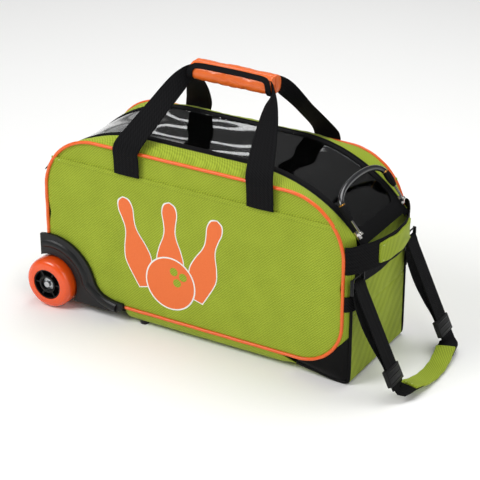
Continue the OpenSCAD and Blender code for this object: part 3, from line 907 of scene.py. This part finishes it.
def corner_sheet(inner, outer, puff_mm, far_y):
    """A sheet from the piping to the rim; far_y(v) is where the rim lies across the bag."""
    def place(u, v):
        a, b = inner(v), outer(v)
        puff = puff_mm * math.sin(math.pi * u) * math.sin(math.pi * min(1, v * 1.05)) ** 0.5
        y = -HALF_W + 1.2 + (far_y(v) + HALF_W - 1.2) * u ** 1.6
        return at(a.x + (b.x - a.x) * u ** 0.8 + puff * 0.4, y - puff, a.y + (b.y - a.y) * u)
    return sheet(10, 60, place, (30, outer.length))


# %% Corners
corner = corner_sheet(cloth_on_piping, cloth_on_rim, 1.8, lambda v: RIM_Y + 3.5 * (1 - v))
thicken(corner, 1.8, 1.0)
clean(corner)
hand_over_pair(corner, "corner_cloth_{}", "bag", lime_polyester, "lime_fabric", smooth=60)

guard = corner_sheet(guard_on_piping, guard_on_rim, 2.6, lambda v: RIM_Y - 3.5 * v)
thicken(guard, 2.0, 1.0)
clean(guard)
hand_over_pair(guard, "guard_vinyl_{}", "bag", black_vinyl, "black_vinyl", ["corner_guard_{}"], smooth=60)

edge = [(END_X + 1, RIM_Y - 1, z) for z in range(184, 16, -12)]
edge += [(END_X, RIM_Y - 1.5, 10), (327, RIM_Y - 2, 4.6), (319, RIM_Y - 2.4, 3.4), (300, RIM_Y - 3, 4.6),
         (270, RIM_Y - 4, 10.5), (HALF_L - CORNER_LOW_R - 4, RIM_Y - 5, 18)]
bound = tube(curve_through(edge, 4), 3.1, sides=12)
hand_over_pair(bound, "bound_edge_{}", "bag", black_vinyl, "black_vinyl", smooth=60)

# %% End panels
END_SEAM = 138


def end_place(u, v):
    """The flat of the right end, which swells a little and steps in at its seam."""
    z = 5 + v * (268 - 5)
    y = (u - 0.5) * 2 * (-RIM_Y + 0.5)
    swell = 1.6 * math.sin(math.pi * u) ** 0.6 * math.sin(math.pi * v) ** 0.5
    ripple = 0.5 * math.sin(y * 0.05 + z * 0.04) + 0.4 * math.sin(z * 0.09 - y * 0.03)
    groove = -1.2 * math.exp(-((z - END_SEAM) / 2.2) ** 2)
    return at(END_X - 0.6 + swell + ripple * math.sin(math.pi * u) + groove, y, z)


end_sheet = sheet(24, 90, end_place, (215, 263))
thicken(end_sheet, 1.8, 1.0, lining=True)
for finish_of in (lime_polyester, black_lining):
    end_sheet.data.materials.append(finish_of)
clean(end_sheet)
hand_over(end_sheet, "right_end_cloth", "bag", lime_polyester, "lime_fabric",
          ["right_end_panel", "end_binding"], smooth=60)
end_rows = [stitches([(END_X + 1.6, y, END_SEAM + h) for y in range(-98, 99, 14)], (1, 0, 0))
            for h in (3.5, -3.5)]
hand_over(join(end_rows), "right_end_stitches", "bag", pale_thread, "lime_fabric", smooth=0)


def left_place(u, v):
    """The left end in plan, with corners that turn in to the piping."""
    z = 111.5 + v * (268 - 111.5)
    half = (u - 0.5) * 2
    y = half * (HALF_W - 1.5)
    turn = max(0, abs(y) - 100) / 18.5
    swell = 2.5 * math.cos(math.pi * half / 2) * math.sin(math.pi * v)
    return at(-END_X - swell + 11 * turn ** 1.5, y, z)


left_sheet = sheet(40, 30, left_place, (240, 156))
thicken(left_sheet, 1.8, -1.0, lining=True)
for finish_of in (lime_polyester, black_lining):
    left_sheet.data.materials.append(finish_of)
clean(left_sheet)
hand_over(left_sheet, "left_end_cloth", "bag", lime_polyester, "lime_fabric", ["left_end_panel"], smooth=60)

# %% Base
HALF_SECTION = [(0, 11), (50, 10), (98, 9), (110, 12), (115.5, 20), (118.6, 31)]


def base_place(u, v):
    """The underside: it sags between the boards and rolls up to the piping on both sides."""
    x = -328 + v * (328 + 328)
    half = (u - 0.5) * 2
    y, z = along_line(HALF_SECTION)(abs(half))
    wide = max(0, min(1, (x + 160) / 14))
    tucked = max(0, min(1, (x - 195) / 30))
    z -= 3.5 * math.sin(math.pi * abs(half)) * math.sin(math.pi * v) * wide * (1 - tucked)
    y = (y * wide + y * 0.73 * (1 - wide)) * (1 - 0.09 * tucked)
    z = (z * wide + 16 * (1 - wide)) * (1 - tucked) + min(z, 12) * tucked
    return at(x, y * (1 if half > 0 else -1), z)


base = sheet(44, 80, base_place, (250, 656))
thicken(base, 1.6, 1.0)
clean(base)
hand_over(base, "base_cloth", "bag", lime_polyester, "lime_fabric", ["bottom_panel"], smooth=60)

# %% [markdown]
# ## Clear lid
# The window is a sheet of clear vinyl about 0.8 mm thick. It never lies flat: it keeps soft waves from
# being rolled, which catch the light in long streaks. A grosgrain binding covers its edge, and a coil zip
# on black tape joins it to the gussets. All follow the lid's arcs, so one function gives a place from an
# angle round the lid.

# %% Clear window
def lid_profile(v, r, start=141.9, end=38.1):
    """A point of the lid's outline at radius r: an arc, the flat crown and an arc, for v from 0 to 1."""
    left_arc = math.radians(start - 90) * LID_R
    right_arc = math.radians(90 - end) * LID_R
    whole = left_arc + 2 * CROWN + right_arc
    reach = v * whole
    if reach < left_arc:
        a = math.radians(start) - reach / LID_R
        return -CROWN + r * math.cos(a), ARC_Z + r * math.sin(a)
    if reach < left_arc + 2 * CROWN:
        return -CROWN + reach - left_arc, ARC_Z + r
    a = math.radians(90) - (reach - left_arc - 2 * CROWN) / LID_R
    return CROWN + r * math.cos(a), ARC_Z + r * math.sin(a)


def window_place(u, v):
    y = (u - 0.5) * 2 * 74.5
    x, z = lid_profile(v, LID_R - 1.2)
    hold = math.sin(math.pi * u) ** 0.7 * math.sin(math.pi * v) ** 0.3
    wave = (2.2 * math.sin(x * 0.021 + y * 0.012 + 0.6) + 1.5 * math.sin(y * 0.045 - x * 0.017)
            + 0.4 * math.sin(x * 0.052 + y * 0.03 + 2) + 0.3 * math.sin(y * 0.08 + x * 0.043))
    return at(x, y, z + hold * (wave - 2.5))


window = sheet(36, 130, window_place, (149, 740))
thicken(window, 0.8, 0.0)
clean(window)
hand_over(window, "window_sheet", "lid", clear_vinyl, "clear_vinyl", ["window_lid"], smooth=180)


# %% Binding and zip
def lid_band(y0, y1, r, start=143, end=37, crown_mm=0.8, across=4, along=110):
    """A strip along the lid between two places across it."""
    def place(u, v):
        x, z = lid_profile(v, r + crown_mm * (1 - (2 * u - 1) ** 2), start, end)
        return at(x, y0 + (y1 - y0) * u, z)
    return sheet(across, along, place, (abs(y1 - y0), 760))


def end_band(side):
    """The binding across an end of the lid, with rounded inner corners."""
    def place(u, v):
        y = (v - 0.5) * 2 * 74
        near = max(0, (abs(y) - 58) / 16)
        start = 0.040 + 0.028 * near ** 2
        t = u * start
        x, z = lid_profile(1 - t if side > 0 else t, LID_R + 0.2)
        return at(x, y, z)
    return sheet(4, 30, place, (28, 148))


bands = [lid_band(-82.4, -72.5, LID_R - 0.4), lid_band(72.5, 82.4, LID_R - 0.4), end_band(1), end_band(-1)]
for band in bands:
    thicken(band, 1.8, 0.0)
binding = join(bands)
clean(binding)
hand_over(binding, "lid_binding_tape", "lid", black_binding, "black_binding", ["lid_binding"], smooth=50)

tape = lid_band(-90, -82.8, LID_R - 0.6, crown_mm=0.3)
thicken(tape, 1.2, 0.0)
clean(tape)
hand_over_pair(tape, "zip_tape_{}", "bag", black_tape, "black_binding", ["zipper_tape_{}"], smooth=50)


def coil_place(u, v):
    x, z = lid_profile(v, LID_R + 0.4 + 1.3 * math.sin(math.pi * u), 141, 39)
    return at(x, -83.6 - 3.2 * u, z)


coil = sheet(6, 150, coil_place, (4, 740))
thicken(coil, 0.6, -1.0)
clean(coil)
hand_over_pair(coil, "zip_coil_{}", "bag", black_binding, "black_binding", smooth=60)

# %% [markdown]
# ## Carry handles
# Each handle is one loop of 55 mm webbing. It is sewn to the side at the seam, runs up over the piping and
# gathers into the grip, where it is folded in half. Each leg is a strip whose width turns from along the
# bag to upright. The handle folds at the piping, but the cloth is not bent there: the loop keeps its place
# and is fixed to no body.

# %% Handle webbing
HANDLE_X = (-130.5, 153.5)
GRIP_X = (-57, 114)
GRIP_Z = 501
GRIP_R = 19


def handle_leg(x, grip_end, side):
    """One leg of the front handle; side is -1 on the left and 1 on the right."""
    lean = grip_end - x
    stations = [
        (x, -124.9, 316, 55, (1, 0, 0)), (x, -125.4, 334, 55, (1, 0, 0)), (x, -126.4, 352, 55, (1, 0, 0)),
        (x, -127.6, 366, 55, (1, 0, 0)), (x + 0.1 * lean, -120, 384, 54, (1, 0, 0)),
        (x + 0.32 * lean, -92, 416, 50, (1, 0, side * 0.05)),
        (x + 0.54 * lean, -62, 448, 43, (1, 0, side * 0.2)),
        (x + 0.76 * lean, -35, 478, 36, (0.8, -side * 0.2, side * 0.5)),
        (x + 0.92 * lean, -17, 496, 30, (0.3, -side * 0.4, side * 0.85)),
        (grip_end - side * 8, -10, 502, 28, (0, -side * 0.3, side * 0.95)),
        (grip_end - side * 26, -9, 502, 26, (0, -side * 0.3, side * 0.95)),
    ]
    return strip([s[:3] for s in stations], [s[3] for s in stations], [s[4] for s in stations], 2.0,
                 across=8, crown_mm=1.2)


legs = join([handle_leg(HANDLE_X[0], GRIP_X[0], -1), handle_leg(HANDLE_X[1], GRIP_X[1], 1)])
fold_line = [at(0, -126, 358), at(0, -126, 378)]
hand_over_pair(legs, "handle_loop_{}", "handle_{}", black_webbing, "black_webbing",
               ["handle_webbing_{}", "handle_anchor_{}"], smooth=60, bend=fold_line)
box_rows = []
for x in HANDLE_X:
    for z0, z1 in ((322, 322), (346, 346)):
        box_rows.append(stitches([(x - 22, -126.8, z0), (x + 22, -126.8, z1)], (0, -1, 0), 5, 0.9))
    for z0, z1 in ((322, 346), (346, 322)):
        box_rows.append(stitches([(x - 22, -126.9, z0), (x + 22, -126.9, z1)], (0, -1, 0), 5, 0.9))
hand_over_pair(join(box_rows), "handle_stitches_{}", "bag", black_tape, "black_webbing", smooth=0)

# %% [markdown]
# ### Grip
# The grip is a padded vinyl flap, rolled round both loops and closed with hook tape. Each handle carries
# its half: a rolled cushion, swollen by the cloth solver with its flat side held. The free edge of the flap
# is bound in black and curves down at both ends.

# %% Grip
GRIP_Y = -5
grip_mid = (GRIP_X[0] + GRIP_X[1]) / 2
grip_len = GRIP_X[1] - GRIP_X[0]
if bpy.context.object:
    take(bpy.context.object)
bpy.ops.mesh.primitive_cylinder_add(vertices=40, radius=(GRIP_R - 1.2) * MM, depth=grip_len * MM,
                                    location=at(grip_mid, GRIP_Y, GRIP_Z), rotation=(0, math.pi / 2, 0))
grip = bpy.context.object
bpy.ops.object.transform_apply(location=True, rotation=True, scale=True)
open_up(grip)
bpy.ops.mesh.bisect(plane_co=(0, -0.5 * MM, 0), plane_no=(0, 1, 0), clear_outer=True, use_fill=True)
close_up()
round_edges(grip, 5, 3, 60)
grip.data.use_remesh_fix_poles = False
grip.data.remesh_voxel_size = 4 * MM
bpy.ops.object.voxel_remesh()
flat_side = [v.index for v in grip.data.vertices if v.co.y > -2.6 * MM]
blow_up(grip, flat_side, 5.0, 2.0, slack=0.02)
for vertex in grip.data.vertices:
    vertex.co.y = min(vertex.co.y, -0.4 * MM)
apply_modifier(grip, "SUBSURF", levels=1, render_levels=1)
clean(grip)
front_grip, back_grip = hand_over_pair(grip, "grip_roll_{}", "handle_{}", orange_wrap_vinyl, "orange_vinyl",
                                       ["grip_{}"], smooth=180)


def on_grip(x, angle, r=GRIP_R + 1.0):
    """A point on the front of the grip; angle is up from level."""
    a = math.radians(angle)
    return (x, GRIP_Y - r * math.cos(a), GRIP_Z + r * math.sin(a))


def round_grip(angle):
    a = math.radians(angle)
    return (0, math.sin(a), math.cos(a))


flap_edge = [(-54, -55), (-54, -20), (-53, 12), (-49, 34), (-40, 46), (-10, 50), (30, 51), (70, 50), (97, 46),
             (106, 34), (110, 12), (111, -20), (111, -55)]
wides = []
for x, angle in flap_edge:
    upright = round_grip(angle)
    turn = min(1, abs(x - grip_mid) / (grip_len / 2)) ** 12
    flip = -1 if x > grip_mid else 1
    wides.append((-turn * flip, upright[1] * (1 - turn), upright[2] * (1 - turn)))
flap = strip([on_grip(x, a) for x, a in flap_edge], 11, wides, 2.4, across=4, crown_mm=0.8)
hand_over(flap, "grip_flap_binding", "handle_front", black_binding, "black_binding", smooth=60)

# %% [markdown]
# ## Grab handle and pull strap
# The grab handle is a webbing loop across the end with a sewn lime sleeve. Below it a cross strap and two
# anchors hold plastic ladder locks. The pull strap hangs from these: two layers of webbing on each side,
# joined in an adjuster, and a lime sleeve round the part that rests on the floor.

# %% Grab handle
LOOP_R = 198
LOOP_X = 369 - LOOP_R


def loop_point(y, r=LOOP_R - 1.2, z=253):
    return (LOOP_X + math.sqrt(r * r - y * y), y, z)


plan = [(322, -119.6, 253), (327, -118.6, 253), (333, -113, 253), (337.5, -105.5, 253)]
plan += [loop_point(y) for y in range(-96, 97, 16)]
plan += [(x, -y, z) for x, y, z in reversed(plan[:4])]
grab = strip(plan, 54, (0, 0, 1), 2.2, across=6, crown_mm=0.6)
hand_over(grab, "grab_webbing", "bag", black_webbing, "black_webbing", ["end_handle_webbing"], smooth=60)

sleeve_line = [loop_point(y, LOOP_R) for y in range(-60, 61, 10)]
sleeve = strip(sleeve_line, [41 - 2 * math.cos(i * 1.3) for i in range(13)], (0, 0, 1), 7, across=6,
               crown_mm=1.2, edge_mm=2.4)
hand_over(sleeve, "grab_sleeve", "bag", lime_polyester, "lime_fabric", ["end_handle_sleeve"], smooth=60)
sleeve_rows = []
for height in (238, 268):
    row = [loop_point(y, LOOP_R, height) for y in range(-56, 57, 8)]
    sleeve_rows.append(stitches([(x + 4.6, y, z) for x, y, z in row], (1, 0, 0), 6))
hand_over(join(sleeve_rows), "grab_sleeve_stitches", "bag", pale_thread, "lime_fabric", smooth=0)

# %% Cross strap and anchors
cross = strip([(333.5, -100, 210), (336, -60, 207), (337, 0, 203), (336, 60, 207), (333.5, 100, 210)], 26,
              (0, 0.05, 1), 2.0, crown_mm=0.5)
hand_over(cross, "cross_webbing", "bag", black_webbing, "black_webbing", ["cross_strap"], smooth=60)
anchor_line = [(323, -119.8, 167), (328, -118.2, 167), (333.5, -112, 167), (337.5, -105, 168),
               (338.5, -99, 170)]
anchor = strip(anchor_line, 30, (0, 0, 1), 2.2, crown_mm=0.4)
hand_over(join([anchor, mirror_of(anchor)]), "anchor_webbing", "bag", black_webbing, "black_webbing",
          ["lower_anchors"], smooth=60)
hand_over_pair(copy_of("strap_ring_front", 0.8, 2), "ladder_lock_{}", "bag", black_plastic, "black_plastic",
               ["strap_ring_{}"], smooth=40)

# %% Pull strap
SLOPE = math.radians(65)
STRAP_Y = 105
RING = (341, 208)


def down_leg(s, off, y=-STRAP_Y):
    """A point s along a leg from the ring's bar, and off it to the outside."""
    return (RING[0] + s * math.cos(SLOPE) + off * math.sin(SLOPE), y,
            RING[1] - s * math.sin(SLOPE) + off * math.cos(SLOPE))


flat = (-1, 0.15, 0)
over_bar = [(RING[0] - 3.6, -STRAP_Y, RING[1] - 2), (RING[0] - 1, -STRAP_Y, RING[1] + 3.8), down_leg(2, 4.2)]
to_band = [(434, -99, 15), (437, -88, 15.5), (439, -74, 15), (441, -60, 12)]
outer_leg = (over_bar + [down_leg(s, 3.0) for s in (18, 50, 90, 130, 165, 195)]
             + [down_leg(208, 1.0, -STRAP_Y + 1)] + to_band)
outer_wide = [(0, 1, 0)] * 9 + [(-0.25, 1, 0), (-0.65, 0.75, 0), (-0.95, 0.3, 0), flat, flat]
outer_width = [37] * 10 + [36, 36, 37, 37]
inner_leg = [(RING[0] - 3, -STRAP_Y + 1, RING[1] - 8)]
inner_leg += [down_leg(s, off) for s, off in ((14, -6), (45, -12), (85, -13), (125, -8), (155, -2.2),
                                              (190, -1.6), (206, -1))]
inner_wide = [(0, 1, 0)] * 8
front_leg = join([strip(outer_leg, outer_width, outer_wide, 1.9, across=6, crown_mm=0.5),
                  strip(inner_leg, 35, inner_wide, 1.9, across=6, crown_mm=0.8)])
hand_over(join([front_leg, mirror_of(front_leg)]), "strap_legs", "strap", black_webbing, "black_webbing",
          ["strap_webbing"], smooth=60)

BAND_R = (105 ** 2 + 16 ** 2) / 32
BAND_X = 446
band_line = [(BAND_X - BAND_R + math.sqrt(BAND_R ** 2 - y * y), y, 5.2 + 11 * (y / 76) ** 2)
             for y in range(-80, 81, 10)]
hand = strip(band_line, [37 + 1.2 * math.sin(i * 2.1) for i in range(len(band_line))], flat, 5.4, across=8,
             crown_mm=-0.8, edge_mm=2.0)
hand_over(hand, "strap_sleeve", "strap", lime_polyester, "lime_fabric", ["strap_grip"], smooth=60)
hand_rows = [stitches([(x + off, y, z + 3.6) for x, y, z in band_line], (0, 0, 1), 6) for off in (-6, 6)]
hand_over(join(hand_rows), "strap_sleeve_stitches", "strap", pale_thread, "lime_fabric", smooth=0)

# %% [markdown]
# ### Adjusters
# A tri-glide is a moulded frame with a centre bar, and the webbing goes over and under it. The CAD frame
# gets rounded edges, and three raised bars across its face show where the webbing passes.

# %% Adjusters
frame_part = copy_of("adjuster_front", 1.6, 3)
bars = []
for s in (169, 180, 191):
    if bpy.context.object:
        take(bpy.context.object)
    bpy.ops.mesh.primitive_cylinder_add(vertices=16, radius=2.2 * MM, depth=42 * MM,
                                        location=at(*down_leg(s, 3.4)), rotation=(math.pi / 2, 0, 0))
    bar = bpy.context.object
    round_edges(bar, 0.8, 2)
    bars.append(bar)
adjuster = join([frame_part] + bars)
hand_over_pair(adjuster, "tri_glide_{}", "adjuster_{}", black_plastic, "black_plastic", ["adjuster_{}"],
               smooth=40)

# %% [markdown]
# ## Zip pull
# Two metal sliders share one pull: an arched tube of smoky vinyl with a brass ring at each end, so both
# sides open with one hand. Gathered fabric boots cover the tube's ends, and metal tabs link them to the
# sliders.

# %% Zip pull
pull_pos = joints["pull_swing"]["pos_m"]
PIN = ((pull_pos[0] - SHIFT) / MM, pull_pos[2] / MM)
LEAN = math.radians(130)


def in_pull(s, y, off=0.0):
    """A point s along the pull from its pins, at y across the bag."""
    return (PIN[0] + s * math.cos(LEAN) + off * math.sin(LEAN), y,
            PIN[1] + s * math.sin(LEAN) - off * math.cos(LEAN))


half_arch = [(52, -85), (60, -84), (69, -77), (77, -62), (82.5, -40), (85, -14)]
arch = half_arch + [(s, -y) for s, y in reversed(half_arch)]
arch_line = [in_pull(s, y) for s, y in curve_through(arch, 6)]
hand_over(tube(arch_line, 5.5, sides=20), "pull_sleeve", "pull", smoke_vinyl, "smoke_vinyl", ["pull_tube"],
          smooth=60)
brass = metal("brass_ring", "#C08A3C", 0.3, 2)
rings = [tube([in_pull(58, y), in_pull(59.5, y), in_pull(61, y)], 6.1, sides=20) for y in (-84.2, 84.2)]
hand_over(join(rings), "pull_rings", "pull", brass, "nickel", smooth=40)


def boot_place(u, v):
    """A gathered sleeve with eight pleats, narrow at the metal tab and wider at the tube."""
    turn = 2 * math.pi * u
    pleats = 0.7 * math.sin(8 * turn + 5 * v) * math.sin(math.pi * v)
    r = 3.6 + 3.2 * math.sin(math.pi * min(1, v * 0.75)) + pleats
    x, y, z = in_pull(28 + 31 * v, -85.5, r * math.cos(turn))
    return at(x, y + r * math.sin(turn), z)


boot = sheet(48, 14, boot_place, (30, 31))
open_up(boot)
bpy.ops.mesh.remove_doubles(threshold=0.00002)
close_up()
apply_modifier(boot, "SOLIDIFY", thickness=1.2 * MM, offset=-1.0)
clean(boot)
hand_over(join([boot, mirror_of(boot)]), "pull_boot_cloth", "pull", black_tape, "black_webbing",
          ["pull_boots"], smooth=60)
hand_over(copy_of("pull_tabs", 0.7, 2), "pull_tab_metal", "pull", bright_nickel, "nickel", ["pull_tabs"],
          smooth=40)
hand_over(copy_of("zip_sliders", 0.8, 2), "slider_metal", "zip", bright_nickel, "nickel", ["zip_sliders"],
          smooth=40)

# %% [markdown]
# ## Wheels and housings
# The housings are moulded with generous edge radii, which catch the light along the arch, so the CAD shape
# is copied and its edges are rounded, and a round rib follows the arch. The tyre is one turned piece with
# soft lips. In the hub, six spokes stand behind a bright bearing, and a low round cap covers the axle's
# end.

# %% Housings and plates
hand_over_pair(copy_of("wheel_housing_front", 2.6, 4), "housing_shell_{}", "bag", charcoal_plastic,
               "black_plastic", ["wheel_housing_{}"], smooth=45)
rib_line = [(x, -120.6, z) for x, z in arc(WHEEL_X, WHEEL_Z, 80, 104, 10, 14)]
rib_line += [(-217, -120.6, 51), (-201, -120.8, 40), (-181, -121.2, 33), (-163, -122, 30)]
rib = tube(curve_through(rib_line, 3), 11, sides=24)
hand_over_pair(rib, "housing_rib_{}", "bag", charcoal_plastic, "black_plastic", smooth=60)
hand_over(copy_of("kick_plate", 1.2, 2), "kick_plate_moulding", "bag", charcoal_plastic, "black_plastic",
          ["kick_plate"], smooth=40)

# %% Wheels


def at_wheel(kind, r, depth, y, sides=64):
    """A cylinder on the front wheel's axle whose middle is at y."""
    if bpy.context.object:
        take(bpy.context.object)
    bpy.ops.mesh.primitive_cylinder_add(vertices=sides, radius=r * MM, depth=depth * MM,
                                        location=at(WHEEL_X, y, WHEEL_Z), rotation=(math.pi / 2, 0, 0))
    piece = bpy.context.object
    piece.name = kind
    bpy.ops.object.transform_apply(location=True, rotation=True, scale=True)
    return piece


WHEEL_MID = -122.5
HALF_PROFILE = [(31, -24.6), (33, -25), (41.5, -24.2), (47, -21.2), (50, -16), (51, -9)]
PROFILE = HALF_PROFILE + [(r, -y) for r, y in reversed(HALF_PROFILE)]
profile_line = along_line(curve_through(PROFILE, 4))


def tyre_place(u, v):
    turn = 2 * math.pi * v
    r, y = profile_line(u)
    return at(WHEEL_X + r * math.cos(turn), WHEEL_MID + y, WHEEL_Z + r * math.sin(turn))


tyre = sheet(44, 96, tyre_place, (90, 320))
open_up(tyre)
bpy.ops.mesh.remove_doubles(threshold=0.00002)
bpy.ops.mesh.select_all(action="DESELECT")
bpy.ops.mesh.select_non_manifold(extend=False)
bpy.ops.mesh.bridge_edge_loops()
close_up()
clean(tyre)
hand_over_pair(tyre, "tread_{}", "wheel_{}", orange_urethane, "orange_urethane", ["tyre_{}"], smooth=50)
hand_over_pair(copy_of("hub_front", 0.7, 2), "hub_core_{}", "wheel_{}", black_plastic, "black_plastic",
               ["hub_{}"], smooth=40)
hand_over_pair(copy_of("bearings_front", 0.8, 3), "bearing_rings_{}", "wheel_{}", zinc_steel, "steel",
               ["bearings_{}"], smooth=40)

cap = at_wheel("cap", 6.3, 5.5, -142.6, 32)
open_up(cap)
bpy.ops.mesh.select_all(action="DESELECT")
close_up()
for polygon in cap.data.polygons:
    polygon.select = polygon.normal.y < -0.9
bpy.ops.object.mode_set(mode="EDIT")
bpy.ops.mesh.inset(thickness=2.0 * MM)
bpy.ops.transform.translate(value=(0, 0.9 * MM, 0))
close_up()
round_edges(cap, 0.9, 3, 30)
washer = at_wheel("washer", 9.4, 1.4, -140.2, 40)
round_edges(washer, 0.4, 2)
caps = join([cap, washer])
hand_over(join([caps, mirror_of(caps)]), "axle_caps", "bag", zinc_steel, "steel", ["axle_nuts"], smooth=40)

# %% [markdown]
# ## Inside
# Through the lid the balls' places show: padded felt dividers and foam cradles on a stiff board. The CAD
# shapes are right, so they are copied with rounded edges.

# %% Inside
for node, name, radius, material, slot in (
        ("divider_left", "divider_pad_left", 3.2, grey_felt, "grey_lining"),
        ("divider_right", "divider_pad_right", 3.2, grey_felt, "grey_lining"),
        ("ball_cradles", "cradle_foam", 2.0, black_foam, "foam")):
    hand_over(copy_of(node, radius, 2), name, "bag", material, slot, [node], smooth=40)
for node in ("front_panel", "back_panel"):
    nodes[node].data.materials[0] = black_lining
nodes["base_board"].data.materials[0] = black_lining
